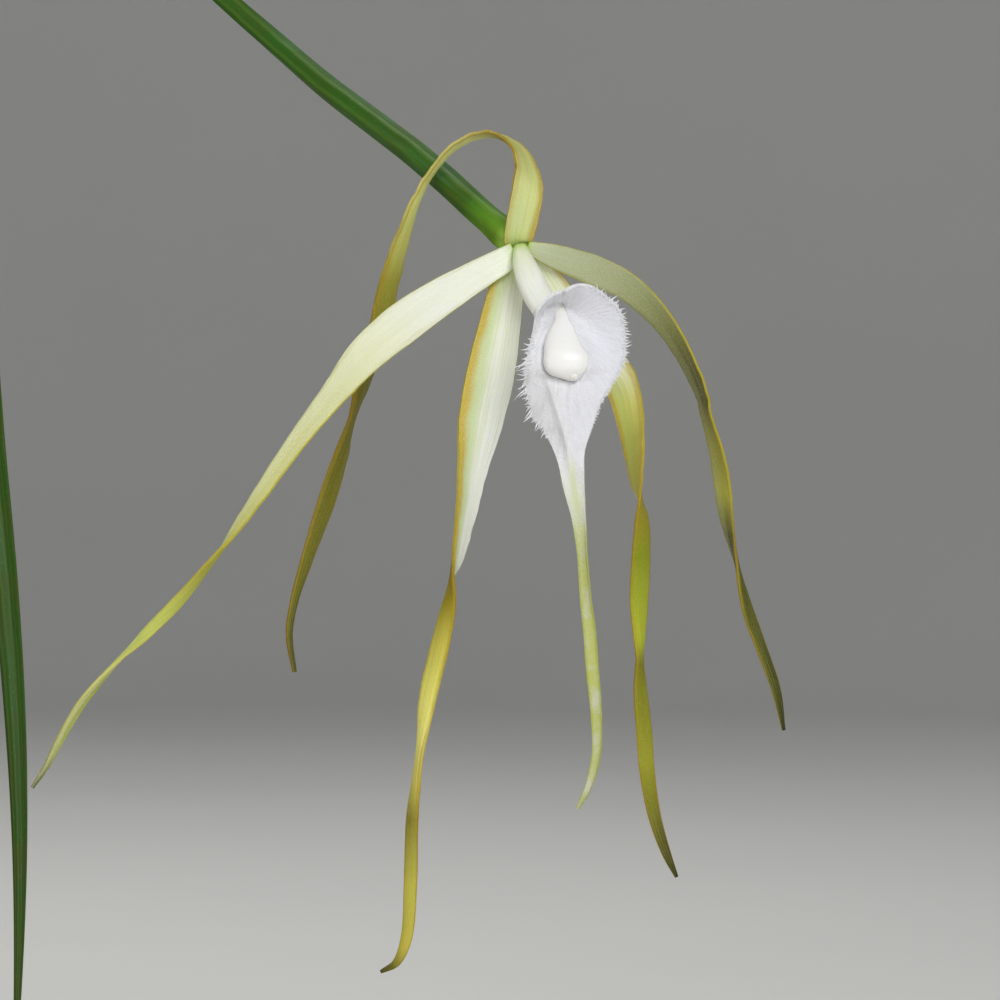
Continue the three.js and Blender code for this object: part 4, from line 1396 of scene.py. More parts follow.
@dataclass
class FlowerStalk:
    """The short peduncle, the bract and the long pedicel with the ovary."""

    stems: Stems
    bearer: int = 5
    peduncle_height: float = 17
    foot_radius: float = 1.0
    top_radius: float = 1.35
    offset: float = 1.9
    base_radius: float = 1.2
    ovary_radius: float = 1.95
    swell_from: float = 0.2
    receptacle_radius: float = 2.3
    bract_from: float = 0.012
    bract_to: float = 0.058
    bract_wall: float = 0.35
    bract_rows: int = 20
    bract_sides: int = 24
    pedicel_rows: int = 260
    pedicel_sides: int = 36
    peduncle_rows: int = 60
    peduncle_sides: int = 18

    def foot(self) -> Vector:
        """Returns where the peduncle leaves its stem's top."""
        return self.stems.curves()[self.bearer].at(1.0) + Vector((-self.offset, 0.4, 0.5))

    def top(self) -> Vector:
        """Returns the peduncle's top."""
        return self.foot() + Vector((1.5, -1, self.peduncle_height))

    def line(self) -> SmoothCurve:
        """Returns the pedicel's middle line up to the receptacle."""
        top = self.top()
        front = (
            (-37.5, 30.7, 50), (-27.4, 22.0, 40), (-20.6, 16.8, 32), (-15.1, 12.6, 24), (-10.4, 8.6, 17),
            (-5.3, 3.9, 8.5), (-0.6, 0.0, 2.9),
        )
        rise = [
            top + Vector((0, 0, 2 * CAD_GAP)), top + Vector((0.6, -0.3, 5)), Vector((38, -5, 236)),
            Vector((62, -13, 250)), Vector((90, -22, 251)), Vector((113, -29, 239.5)),
        ]
        return SmoothCurve([*rise, *(flower_point(*row) for row in front)])

    def build(self) -> None:
        """Builds the peduncle, the bract and the pedicel."""
        skin = RodFinish(
            "stalk_skin",
            ((0.0, "#5f7a22"), (0.25, "#3f6a08"), (0.6, "#285a00"), (0.94, "#2c6400"), (0.984, "#6ba01c"),
             (0.992, "#aede54"), (1.0, "#b4e058")),
            "#3f4800", 0.4, 6, 0.5, 0.0,
        ).material()
        foot, top = self.foot(), self.top()
        curve = SmoothCurve([foot, foot.lerp(top, 0.5) + Vector((-0.6, 0, 0)), top])

        def peduncle_radius(share: float, angle: float) -> float:
            """Returns the peduncle's radius with its one joint ring."""
            ring = 0.25 * math.exp(-(((share - 0.5) / 0.03) ** 2))
            return mix(self.foot_radius, self.top_radius, share) + ring * 0.6

        grid = rod_grid(curve, self.peduncle_rows, self.peduncle_sides, peduncle_radius, Vector((1, 0, 0)))
        peduncle = shaped_grid("short_peduncle", grid, closed=True)
        put_material(peduncle, skin)
        finish_piece(peduncle, "stalk_green", "peduncle")

        def pedicel_radius(share: float, angle: float) -> float:
            """Returns the pedicel's radius with six slowly turning ribs and the receptacle."""
            swell = smoothstep(self.swell_from, 1, share)
            body = mix(self.base_radius, self.ovary_radius, swell)
            body = mix(body, self.receptacle_radius, smoothstep(0.965, 0.99, share))
            rib = 0.05 * math.cos(6 * (angle + 2.4 * share)) * smoothstep(0.3, 0.7, share)
            return body * (1 + rib)

        line = self.line()
        grid = rod_grid(line, self.pedicel_rows, self.pedicel_sides, pedicel_radius, Vector((0, 1, 0)))
        pedicel = shaped_grid("ribbed_pedicel", grid, closed=True)
        put_material(pedicel, skin)
        finish_piece(pedicel, "stalk_green", "pedicel_ovary")
        self.bract(line)

    def bract(self, line: SmoothCurve) -> None:
        """Wraps the papery bract round the pedicel's start.

        Args:
            line: the pedicel's middle line.
        """
        rows, sides = self.bract_rows, self.bract_sides
        shares = [mix(self.bract_from, self.bract_to, r / rows) for r in range(rows + 1)]
        grid = []
        for r, (centre, side, way) in enumerate(transported_frames(line, shares, Vector((1, 0, 0)))):
            up = r / rows
            belly = mix(0.55, 1.25, smoothstep(0, 0.35, up)) - 0.4 * smoothstep(0.5, 1.0, up)
            radius = self.base_radius + CAD_GAP + belly
            ring = []
            for s in range(sides + 1):
                angle = 2 * math.pi * (s % sides) / sides
                slant = smoothstep(0.6, 1.0, up) * (-1.6 + 2.4 * math.cos(angle - 0.8))
                ring.append(ring_point(centre, side, way, radius, angle) + way * slant)
            grid.append(ring)
        bract = shaped_grid("papery_bract", grid, closed=True)
        apply_modifier(bract, "SOLIDIFY", thickness=self.bract_wall * MM, offset=-1.0)
        put_material(bract, PaperFinish("bract_paper", "#c9b98a", "#7d6a3e", "#d6cda8").material())
        finish_piece(bract, "papery_sheath", "floral_bract")


@dataclass
class Tepal:
    """A sepal or petal: a long fleshy ribbon that twists as it hangs.

    Each station is across, up, back, width, and the turn of its inner face from the viewer.
    """

    name: str
    node: str
    slot: str
    stations: tuple[Row, ...]
    inner: TepalFinish
    outer: TepalFinish
    thickness: float = 0.75
    margin_thickness: float = 0.35
    channel: float = 0.07
    rows_between: int = 9
    columns: int = 17

    def grid(self) -> Grid:
        """Returns the ribbon's middle surface."""
        place, form = station_curves(self.stations)
        rows = (len(self.stations) - 1) * self.rows_between
        grid = []
        for i in range(rows + 1):
            share = i / rows
            centre, way, shape = place.at(share), place.way(share), form.at(share)
            inner, side = ribbon_sides(way, shape.y)
            width = shape.x * (1 + 0.03 * noise.noise(Vector((share * 40, len(self.name), 0))))
            row = []
            for j in range(self.columns):
                x = 2 * j / (self.columns - 1) - 1
                lift = self.channel * width * (x * x - 0.5)
                wave = noise.noise(Vector((share * 55, x, len(self.name) + 3)))
                ripple = 0.035 * width * abs(x) ** 3 * wave
                row.append(centre + side * (x * width / 2) + inner * (lift + ripple))
            grid.append(row)
        return grid

    def build(self) -> None:
        """Shapes the ribbon, gives it its fleshy thickness and dresses both faces."""
        ribbon = shaped_grid(self.name, self.grid(), smooth=80)
        put_material(ribbon, self.inner.material(), self.outer.material())
        outside = {"material_offset": 1, "material_offset_rim": 1}
        fleshed(ribbon, self.columns, 2.2, self.thickness, self.margin_thickness, offset=0.0, **outside)
        smoothed(ribbon, 80)
        finish_piece(ribbon, self.slot, self.node)


DORSAL_SEPAL = (
    (-0.36, -0.2, 1.6, 3.7, 0), (-0.42, 0.5, 0.9, 4.0, 0), (0.1, 3.0, 0.5, 4.4, 0),
    (0.8, 7.0, 0.6, 4.5, 15), (0.8, 10.0, 1.8, 4.6, 45), (-0.4, 13.1, 3.6, 4.6, 68),
    (-2.8, 14.9, 5.5, 4.6, 84), (-5.7, 15.1, 7.5, 4.6, 90), (-9.3, 13.5, 10, 4.6, 90),
    (-12.3, 10.3, 12.5, 4.6, 91), (-14.5, 6.5, 14.5, 4.6, 97), (-17.1, -1.0, 17.5, 4.5, 115),
    (-18.6, -6.3, 19, 4.4, 124), (-19.9, -12.2, 20.5, 4.2, 126), (-22.4, -20.6, 22, 3.9, 113),
    (-23.7, -24.6, 23, 3.7, 97), (-25.2, -29.8, 23, 3.4, 120), (-27.3, -36.3, 23, 3.0, 137),
    (-30.2, -44.9, 22, 2.2, 130), (-31.9, -50.6, 21, 1.6, 122), (-32.5, -55.0, 20, 1.2, 125),
    (-31.8, -60.1, 20, 0.5, 130),
)
LEFT_PETAL = (
    (-0.85, -1.53, 0.5, 3.3, 0), (-2.3, -2.35, 0.0, 3.6, 0), (-5.6, -4.2, -0.6, 4.2, 0),
    (-11.3, -7.6, -1.5, 5.2, 0), (-16.8, -11.4, -2, 5.8, 0), (-22.0, -15.9, -2, 5.2, 8),
    (-25.8, -20.6, -1, 4.3, 28), (-31.1, -27.4, 0, 3.7, 43), (-36.5, -35.1, 1, 3.2, 52),
    (-39.9, -40.0, 2, 2.9, 66), (-42.0, -42.8, 2.5, 2.7, 88), (-46.9, -48.9, 4, 1.9, 136),
    (-52.6, -54.8, 5, 1.6, 205), (-56.2, -58.3, 6, 1.5, 268), (-61.5, -64.4, 6.5, 1.4, 318),
    (-65.0, -70.4, 6.5, 1.1, 338), (-66.6, -73.5, 6.5, 0.8, 345), (-68.5, -76.3, 6, 0.45, 350),
)
RIGHT_PETAL = (
    (0.8, -0.52, 0.9, 1.7, 0), (2.0, -1.0, 1.2, 2.3, 0), (4.3, -1.8, 2.2, 3.3, 0), (9.7, -3.7, 5.5, 4.2, 0),
    (14.7, -6.1, 9.5, 4.0, 18), (19.4, -10.5, 14, 3.8, 42), (22.6, -15.3, 18, 3.7, 56),
    (25.2, -21.0, 22, 3.6, 66), (25.9, -23.9, 24, 3.4, 70), (27.4, -29.3, 27, 3.1, 57),
    (28.2, -34.0, 30, 2.8, 42), (28.7, -38.2, 32, 2.6, 50), (29.8, -43.7, 34, 2.3, 82),
    (31.8, -51.7, 37, 2.0, 140), (33.7, -57.0, 38, 1.7, 150), (35.6, -62.4, 39, 1.4, 155),
    (36.7, -68.2, 40, 0.45, 160),
)
LEFT_LATERAL_SEPAL = (
    (-0.8, -1.5, 1.9, 3.0, 0), (-2.0, -6.2, 1.6, 4.8, 0), (-3.2, -12.6, 1.2, 6.0, 0),
    (-4.5, -19.2, 1, 6.8, -6), (-5.7, -24.8, 1, 6.4, -14), (-6.8, -30.7, 1, 5.8, -42),
    (-7.8, -37.4, 1.5, 5.0, -56),
    (-9.0, -44.0, 2, 4.3, -70), (-9.5, -46.2, 2, 4.1, -87), (-10.2, -50.5, 2.5, 3.7, -117),
    (-11.5, -56.7, 3, 3.2, -141), (-13.1, -63.6, 3, 2.8, -149), (-14.3, -71.7, 3.5, 2.4, -112),
    (-15.3, -80.5, 4, 2.1, -136), (-15.5, -89.2, 4, 1.9, -162), (-16.1, -97.4, 4, 1.6, -165),
    (-17.5, -100.8, 4, 1.1, -165), (-19.7, -102.1, 4, 0.45, -165),
)
RIGHT_LATERAL_SEPAL = (
    (1.4, -0.9, 2.3, 2.5, 0), (3.6, -5.6, 5, 4.8, 0), (7.6, -11.5, 9, 5.8, 0), (11.1, -16.0, 12, 6.0, 20),
    (13.9, -19.7, 15, 5.7, 38), (15.1, -23.7, 17, 5.2, 43), (15.9, -29.7, 18, 4.6, 58),
    (16.2, -34.2, 19, 4.1, 76),
    (16.9, -38.5, 20, 3.8, 117), (16.8, -43.8, 21, 3.4, 137), (16.5, -50.0, 22, 3.0, 147),
    (16.6, -56.1, 22.5, 2.7, 120), (16.6, -58.2, 23, 2.6, 110), (16.7, -62.9, 23, 2.4, 138),
    (17.2, -68.7, 24, 2.3, 160), (17.6, -74.1, 24, 2.2, 162), (18.6, -80.2, 25, 1.8, 165),
    (20.2, -85.3, 25, 1.3, 165), (21.7, -88.8, 25, 0.45, 165),
)


def outer_face(name: str, stops: tuple[tuple[float, str], ...] = (), **fixed: object) -> TepalFinish:
    """Returns a tepal's yellow-green outer face.

    Args:
        name: the finish's name.
        stops: its colours from the base to the tip, or the common ones if none are given.
        fixed: other fields of the finish.

    Returns:
        The finish.
    """
    common = (
        (0.0, "#a2c24c"), (0.06, "#c5cd7c"), (0.3, "#bfc04c"), (0.5, "#aeaa1e"), (0.7, "#a9a81e"),
        (0.9, "#8f9420"), (1.0, "#7f7a20"),
    )
    veins = {"vein": "#93a52c", "vein_share": 0.4, "painted_glint": 0.07}
    return TepalFinish(name, stops or common, **{"edge_right": 0.45, "edge_left": 0.45, **veins, **fixed})


def tepals() -> list[Tepal]:
    """Returns the three sepals and two petals with their finishes."""
    # The colour stops below hold painted light and shade over the tissue's own colours: pale bands where a
    # twisting ribbon faces the light, dark bands where it turns away, and darkening to near black at the
    # tips, partly the tips' own olive and partly painted falloff of the light.
    dorsal = TepalFinish(
        "dorsal_inner",
        ((0.0, "#7eae2c"), (0.008, "#9dc24c"), (0.03, "#bccb74"), (0.09, "#ccd596"), (0.16, "#d4d890"),
         (0.3, "#b3a43c"), (0.45, "#b4b448"), (0.6, "#97962a"), (0.85, "#8e8a24"), (1.0, "#4a4a1e")),
        "#b5982c", 0.4, 0.75, 0.24, "#d2d684", 0.5, "#9fbf4e", 0.35, 0.22, 0.1,
    )
    dorsal_outer = (
        (0.0, "#a2c24c"), (0.1, "#b8a636"), (0.17, "#94801c"), (0.27, "#948426"), (0.36, "#f0ee98"),
        (0.47, "#f4f490"), (0.56, "#a49c34"), (0.64, "#6e640f"), (0.85, "#716a10"), (1.0, "#4a481e"),
    )
    left_petal = TepalFinish(
        "left_petal_inner",
        ((0.0, "#a9cf50"), (0.014, "#dfe9c0"), (0.05, "#f5f9ea"), (0.2, "#eef0e2"), (0.3, "#e6e8c0"),
         (0.45, "#e2e294"), (0.54, "#cfce64"), (0.6, "#b8b946"), (0.75, "#b3b844"), (0.9, "#a4aa50"),
         (1.0, "#4c4e2a")),
        "#b9b052", 0.2, 0.25, 0.12, "#f2f5e4", 0.2, "#dde3b4", 0.3,
    )
    left_petal_outer = (
        (0.0, "#a2c24c"), (0.3, "#c9cc70"), (0.5, "#b4b44a"), (0.62, "#b0ae44"), (0.7, "#d0d66c"),
        (0.8, "#d2da84"), (0.9, "#9da256"), (0.97, "#7c7e46"), (1.0, "#4c4e2a"),
    )
    # The right petal's colours are painted darker than the left petal's all along: painted shade for the
    # petal that is turned from the light.
    right_petal = TepalFinish(
        "right_petal_inner",
        ((0.0, "#9cc640"), (0.02, "#cddaa0"), (0.08, "#c8cfae"), (0.26, "#a9ad80"), (0.33, "#919252"),
         (0.4, "#66621e"), (0.47, "#66601a"), (0.55, "#a8a22c"), (0.64, "#b2ae3a"), (0.72, "#504a12"),
         (0.85, "#5a581c"), (0.93, "#46441a"), (1.0, "#1c1c08")),
        "#8f8a3a", 0.15, 0.25, 0.12, "#b8bd8c", 0.3, "#aab86c", 0.35,
    )
    right_petal_outer = (
        (0.0, "#a2c24c"), (0.3, "#b9b84a"), (0.5, "#a6a024"), (0.6, "#b0ac30"), (0.65, "#aca83a"),
        (0.72, "#504a12"), (0.85, "#565418"), (0.93, "#444218"), (1.0, "#1c1c08"),
    )
    # Its near-white base is painted light, against the shadow that the claw casts there.
    left_sepal = TepalFinish(
        "left_sepal_inner",
        ((0.0, "#c4e47a"), (0.015, "#f0f7c8"), (0.06, "#fafcea"), (0.25, "#f3f5ee"), (0.42, "#eceee2"),
         (0.52, "#d8dab4"), (0.6, "#b5a83a"), (0.75, "#c4c458"), (0.9, "#93963a"), (1.0, "#8c8a3a")),
        "#c8ac30", 0.0, 0.9, 0.3, "#c4d592", 0.8, "#d0dca0", 0.45,
    )
    left_sepal_outer = (
        (0.0, "#a2c24c"), (0.3, "#bfc056"), (0.45, "#7e6c10"), (0.49, "#94800f"), (0.53, "#a89418"),
        (0.57, "#ccbe4c"), (0.62, "#dcd464"), (0.69, "#f8f088"), (0.73, "#dccf68"), (0.765, "#8e7e2a"),
        (0.83, "#c2ba4a"), (0.9, "#c4b444"), (0.96, "#5c5410"), (1.0, "#3a3608"),
    )
    # Its near-white base is painted light, against the shadow that the claw and the petal cast there.
    right_sepal = TepalFinish(
        "right_sepal_inner",
        ((0.0, "#d2ec86"), (0.02, "#f8fbe0"), (0.12, "#f8fbd8"), (0.2, "#fafbcc"), (0.26, "#eeea84"),
         (0.31, "#c6c25a"), (0.38, "#c2b84a"), (0.46, "#b0b63c"), (0.8, "#969a24"), (1.0, "#6c6428")),
        "#c6a936", 0.6, 0.8, 0.2, "#b9cf6a", 0.4, "#b4ca62", 0.35, 0.22, 0.12,
    )
    right_sepal_outer = (
        (0.0, "#a2c24c"), (0.3, "#b9b450"), (0.42, "#a08e1c"), (0.5, "#8c9412"), (0.6, "#b6bc30"),
        (0.68, "#7e7a0e"), (0.82, "#9c9a22"), (0.93, "#564c10"), (1.0, "#2a2408"),
    )
    return [
        Tepal(
            "arching_dorsal_sepal", "dorsal_sepal", "sepal", DORSAL_SEPAL, dorsal,
            outer_face("dorsal_outer", dorsal_outer, edge="#a8841a", edge_right=0.5, edge_left=0.55),
        ),
        Tepal(
            "left_petal", "petal_left", "petal", LEFT_PETAL, left_petal,
            outer_face("left_petal_outer", left_petal_outer, edge_right=0.3, edge_left=0.3),
        ),
        Tepal(
            "right_petal", "petal_right", "petal", RIGHT_PETAL, right_petal,
            outer_face("right_petal_outer", right_petal_outer),
        ),
        Tepal(
            "left_lateral_sepal", "lateral_sepal_left", "sepal", LEFT_LATERAL_SEPAL, left_sepal,
            outer_face("left_sepal_outer", left_sepal_outer, edge="#a88a10", edge_right=0.35, edge_left=0.6),
        ),
        Tepal(
            "right_lateral_sepal", "lateral_sepal_right", "sepal", RIGHT_LATERAL_SEPAL, right_sepal,
            outer_face("right_sepal_outer", right_sepal_outer, edge="#b08a20"),
        ),
    ]


@dataclass
class Column:
    """The white column in the throat, with its wings and its anther cap.

    Each station is across, up, back, half width and half depth.
    """

    stations: tuple[Row, ...] = (
        (0.1, -1.5, -0.9, 0.5, 0.5), (0.6, -3.3, -2.3, 1.0, 0.85), (1.5, -5.7, -4.1, 1.1, 0.95),
        (3.2, -7.9, -5.6, 1.1, 0.9), (5.2, -9.3, -7.4, 1.0, 0.9), (5.65, -10.7, -10.1, 1.0, 1.0),
        (5.65, -11.6, -11.0, 1.5, 1.2), (5.65, -12.7, -11.7, 1.98, 1.4),
        (5.8, -14.2, -12.5, 2.55, 1.6), (6.2, -15.6, -13.0, 3.05, 1.75),
        (6.27, -16.6, -13.15, 3.2, 1.75), (6.3, -17.7, -13.1, 2.95, 1.6), (6.3, -18.5, -12.9, 2.2, 1.3),
        (6.9, -19.0, -12.8, 1.2, 0.9), (7.3, -19.35, -12.7, 0.35, 0.4),
    )
    cap: tuple[float, float, float] = (7.35, -18.6, -13.75)
    cap_radius: float = 0.55
    first_free: int = 5
    rows: int = 90
    sides: int = 36

    def outline_at(self, up: float) -> tuple[float, float, float]:
        """Returns the middle, half width and depth of the column at a height of the front view."""
        rows = self.stations[self.first_free :]
        if up >= rows[0][1]:
            rise = min((up - rows[0][1]) / 1.2, 1.0)
            return rows[0][0], rows[0][3] * (1 - rise), rows[0][2] + 0.6 * rise
        for high, low in zip(rows, rows[1:]):
            if up >= low[1]:
                share = (high[1] - up) / (high[1] - low[1])
                return mix(high[0], low[0], share), mix(high[3], low[3], share), mix(high[2], low[2], share)
        return rows[-1][0], 0.0, rows[-1][2]

    def build(self) -> None:
        """Shapes the column and its cap, and dresses them."""
        grid = flat_tube(self.stations, self.rows, self.sides, (0.8, 1.0), upright=(0.24, 0.36))
        start, end = (flower_point(*self.stations[k][:3]) for k in (0, -1))
        grid = closed_ends(grid, start, end + Vector((0, 0, -0.1)))
        column = shaped_grid("white_column", grid, closed=True, smooth=80)
        apply_modifier(column, "SMOOTH", factor=0.5, iterations=12)
        put_material(column, WaxFinish("column_wax", "#fdfcf8", "#cfe0a4").material())
        finish_piece(column, "column", "column")
        deselect()
        place = flower_point(*self.cap) * MM
        bpy.ops.mesh.primitive_uv_sphere_add(segments=28, ring_count=16, radius=self.cap_radius * MM)
        cap = bpy.context.object
        cap.name = cap.data.name = "small_anther_cap"
        dent_width = 0.16 * self.cap_radius * MM
        for vertex in cap.data.vertices:
            dent = 1 - 0.22 * math.exp(-((vertex.co.x / dent_width) ** 2)) * (vertex.co.z < 0)
            vertex.co = Vector((vertex.co.x * 1.1, vertex.co.y * 0.8, vertex.co.z)) * dent + place
        bpy.ops.object.shade_smooth()
        put_material(cap, WaxFinish("anther_cap_wax", "#f8f5ea", "#f8f5ea").material())
        finish_piece(cap, "anther_cap", "anther_cap")


@dataclass
class Lip:
    """The lip: a claw rolled to a tube, a fringed velvet blade, and a long drawn-out tail.

    Edges and ridge are across and up. The claw's stations are across, up, back, half width and
    half depth, and the tail's are a tepal's.
    """

    column: Column
    throat: tuple[float, float] = (5.2, -10.8)
    throat_back: float = -8.6
    throat_radius: float = 2.35
    dish: float = 4.2
    fall_below: float = -22
    fall: float = 0.11
    neck_back: tuple[float, float] = (-12.5, -11.1)
    crease: float = 0.55
    top_edge: tuple[Row, ...] = (
        (1.92, -11.2), (2.27, -9.9), (3.08, -8.6), (4.48, -7.45), (5.64, -7.05), (6.1, -7.25), (6.4, -6.85),
        (7.3, -6.3), (8.2, -6.05), (9.6, -6.2), (11.0, -6.95), (12.0, -7.75), (13.15, -8.7), (13.95, -9.8),
    )
    left_edge: tuple[Row, ...] = (
        (1.92, -11.2), (1.4, -14.0), (0.7, -17.0), (0.75, -21.0), (1.9, -24.6), (3.3, -26.4), (4.6, -29.4),
        (5.7, -33.0), (6.2, -36.0),
    )
    right_edge: tuple[Row, ...] = (
        (13.95, -9.8), (14.55, -12.8), (14.2, -16.7), (12.6, -19.8), (11.1, -22.3), (10.2, -25.0),
        (8.9, -29.2), (8.8, -33.0), (8.8, -36.0),
    )
    tail: tuple[Row, ...] = (
        (6.4, -24.5, -11.2, 4.4, 0), (6.8, -29.0, -11.0, 3.9, 0), (7.3, -33.8, -11.1, 3.0, 0),
        (8.0, -38.5, -10.6, 2.0, 18), (8.5, -43.8, -9.7, 1.7, 40), (9.0, -50.0, -8.8, 1.7, 28),
        (9.5, -54.0, -8.2, 1.75, 12), (9.9, -59.4, -7.5, 1.75, 0), (10.5, -66.6, -7, 1.5, 12),
        (10.4, -72.0, -6.6, 1.2, 20), (9.2, -76.5, -6.2, 0.9, 12), (7.8, -79.2, -6, 0.45, 10),
    )
    claw: tuple[Row, ...] = (
        (-0.15, -0.75, 0.3, 1.0, 0.8), (0.0, -1.5, -0.6, 1.2, 1.15), (0.4, -3.0, -2.1, 1.6, 1.55),
        (1.25, -5.2, -3.9, 1.95, 1.7), (2.3, -7.4, -5.2, 2.0, 1.75), (3.5, -9.2, -6.3, 2.0, 1.6),
    )
    ridge: tuple[Row, ...] = (
        (3.3, -17.0), (3.5, -18.5), (4.3, -21.3), (5.2, -24.2), (6.0, -27.0), (6.4, -28.9), (6.7, -31.1),
        (7.2, -34.0), (7.7, -37.0), (8.0, -44.0),
    )
    blade_end: float = -34.0
    blend_from: float = -28.0
    blade_rows: int = 104
    tail_rows: int = 110
    columns: int = 73
    thickness: float = 0.5
    margin_thickness: float = 0.2
    claw_rows: int = 48
    claw_sides: int = 40
    claw_wall: float = 0.3
    tooth_seed: int = 5
    short_gap: float = 0.2
    left_gap: float = 0.38
    right_gap: float = 0.26
    shortest_tooth: float = 0.03
    away_share: float = 0.6

    def rim_distances(self) -> list[float]:
        """Returns how far the rim is from the throat's middle, for each degree about it."""
        edges = [*reversed(self.top_edge), *self.left_edge[1:], *reversed(self.right_edge)]
        outline = SmoothCurve([Vector((*point, 0)) for point in edges])
        offsets = [outline.at(i / 1440) - Vector((*self.throat, 0)) for i in range(1441)]
        distances = []
        turns = [math.atan2(offset.y, offset.x) for offset in offsets]
        for degree in range(360):
            gaps = [abs(math.remainder(turn - math.radians(degree), 2 * math.pi)) for turn in turns]
            distances.append(offsets[gaps.index(min(gaps))].length)
        return distances

    def blade_back(self, across: float, up: float, rim: Sequence[float]) -> float:
        """Returns how far back the blade lies at a place of the front view.

        The blade is a dish about the throat. It cradles the column, falls back to the left of its
        ridge, and has a seam from the throat up to the notch.

        Args:
            across: the place's distance to the right.
            up: its height.
            rim: the rim's distance from the throat's middle for each degree.

        Returns:
            The depth in millimetres.
        """
        offset = Vector((across - self.throat[0], up - self.throat[1]))
        turn = math.degrees(math.atan2(offset.y, offset.x)) % 360
        reach = mix(rim[int(turn) % 360], rim[(int(turn) + 1) % 360], turn % 1)
        share = min(max((offset.length - self.throat_radius) / (reach - self.throat_radius), 0.0), 1.0)
        back = self.throat_back - self.dish * share**0.75 + self.fall * max(0.0, self.fall_below - up)
        level = mix(self.neck_back[0], self.neck_back[1], smoothstep(-18.0, -30.0, up))
        back = mix(back, level, smoothstep(-16.5, -20.5, up))
        middle = self.ridge_at(up)
        beyond = max(0.0, middle - across)
        slope = smoothstep(-16.5, -20.5, up)
        back += slope * (0.5 * beyond + 0.35 * (1 - math.exp(-((beyond / 0.5) ** 2))))
        seam = smoothstep(-10.2, -9.2, up) * math.exp(-(((across - 5.85) / 0.22) ** 2))
        back += 0.45 * seam - 0.35 * smoothstep(5.8, 6.6, across) * smoothstep(-12.5, -9.5, up)
        centre, half, depth = self.column.outline_at(up)
        below = max(0.0, self.column.stations[-1][1] - up)
        beside = max(0.0, abs(across - centre) - half)
        cradle = math.exp(-((math.hypot(beside, 0.6 * below) / 2.0) ** 2))
        rest = depth + mix(0.4, -0.2, smoothstep(-1.5, 1.5, across - centre))
        rest += 0.2 * smoothstep(-17.0, -19.0, up)
        left = 1 - smoothstep(0.0, 2.0, across - centre - 1.0)
        crease = left * math.exp(-(((math.hypot(beside, below) - 0.1) / 0.3) ** 2))
        crease *= smoothstep(-11.5, -14.0, up)
        return mix(back, rest, cradle * smoothstep(-9.0, -10.4, up)) + self.crease * crease

    def ridge_at(self, up: float) -> float:
        """Returns how far across the ridge stands at a height."""
        rows = self.ridge
        for (x0, y0), (x1, y1) in zip(rows, rows[1:]):
            if up >= y1:
                return mix(x0, x1, max(0.0, (y0 - up) / (y0 - y1)))
        return rows[-1][0]

    def edge_at(self, edge: SmoothCurve, up: float) -> float:
        """Returns how far across an edge stands at a height."""
        low, high = 0.0, 1.0
        for _ in range(18):
            middle = (low + high) / 2
            if edge.at(middle).y > up:
                low = middle
            else:
                high = middle
        return edge.at(low).x

    def tail_row(self, place: SmoothCurve, form: SmoothCurve, share: float) -> list[Vector]:
        """Returns one row of the tail's ribbon.

        Args:
            place: the ribbon's middle line.
            form: its width and turn.
            share: the share of its stations.

        Returns:
            The row from the viewer's right to left.
        """
        centre, way, shape = place.at(share), place.way(share), form.at(share)
        inner, side = ribbon_sides(way, shape.y)
        row = []
        for j in range(self.columns):
            x = 2 * j / (self.columns - 1) - 1
            lift = 0.10 * shape.x * (x * x - 0.5)
            row.append(centre + side * (x * shape.x / 2) + inner * lift)
        return row

    def blade_grid(self) -> Grid:
        """Returns the blade and tail as one lamina, from the top edge to the tail's tip."""
        rim = self.rim_distances()
        top, left_edge, right_edge = (
            SmoothCurve([Vector((*p, 0)) for p in edge], samples=120)
            for edge in (self.top_edge, self.left_edge, self.right_edge)
        )
        place, form = station_curves(self.tail)
        left_top, right_top = Vector((*self.top_edge[0], 0)), Vector((*self.top_edge[-1], 0))
        start = left_top.y
        grid = []
        for i in range(self.blade_rows):
            height = mix(start, self.blade_end, i / (self.blade_rows - 1))
            down = smoothstep(0.0, 5.5, start - height)
            right_up = mix(right_top.y, height, smoothstep(0.0, 4.0, start - height))
            left = Vector((self.edge_at(left_edge, height), height, 0))
            right = Vector((self.edge_at(right_edge, right_up), right_up, 0))
            tail = self.tail_row(place, form, self.tail_share(height)) if height < self.blend_from else None
            row = []
            for j in range(self.columns):
                u = 1 - j / (self.columns - 1)
                flat = left.lerp(right, u)
                bulge = top.at(top.share_at(u)) - left_top.lerp(right_top, u)
                flat += bulge * (1 - down) ** 1.6
                point = flower_point(flat.x, flat.y, self.blade_back(flat.x, flat.y, rim))
                if tail:
                    point = point.lerp(tail[j], smoothstep(self.blend_from, self.blade_end, height))
                row.append(point)
            grid.append(row)
        first = self.tail_share(self.blade_end)
        shares = [mix(first, 1.0, r / self.tail_rows) for r in range(1, self.tail_rows + 1)]
        return grid + [self.tail_row(place, form, share) for share in shares]

    def tail_share(self, up: float) -> float:
        """Returns the share of the tail's stations at a height."""
        for i, (high, low) in enumerate(zip(self.tail, self.tail[1:])):
            if up >= low[1]:
                return max(0.0, (i + (high[1] - up) / (high[1] - low[1])) / (len(self.tail) - 1))
        return 1.0

    def build(self) -> None:
        """Shapes the blade, its fringe and the claw, and joins them to one lip."""
        velvet = LipFinish().material()
        grid = self.blade_grid()
        blade = shaped_grid("blade", grid, smooth=80)
        put_material(blade, velvet)
        fleshed(blade, self.columns, 3, self.thickness, self.margin_thickness, offset=-1.0)
        fringe = self.fringe(grid)
        put_material(fringe, velvet)
        claw = self.claw_tube()
        lip = joined("fringed_lip", [blade, fringe, claw])
        smoothed(lip, 80)
        finish_piece(lip, "lip", "lip")

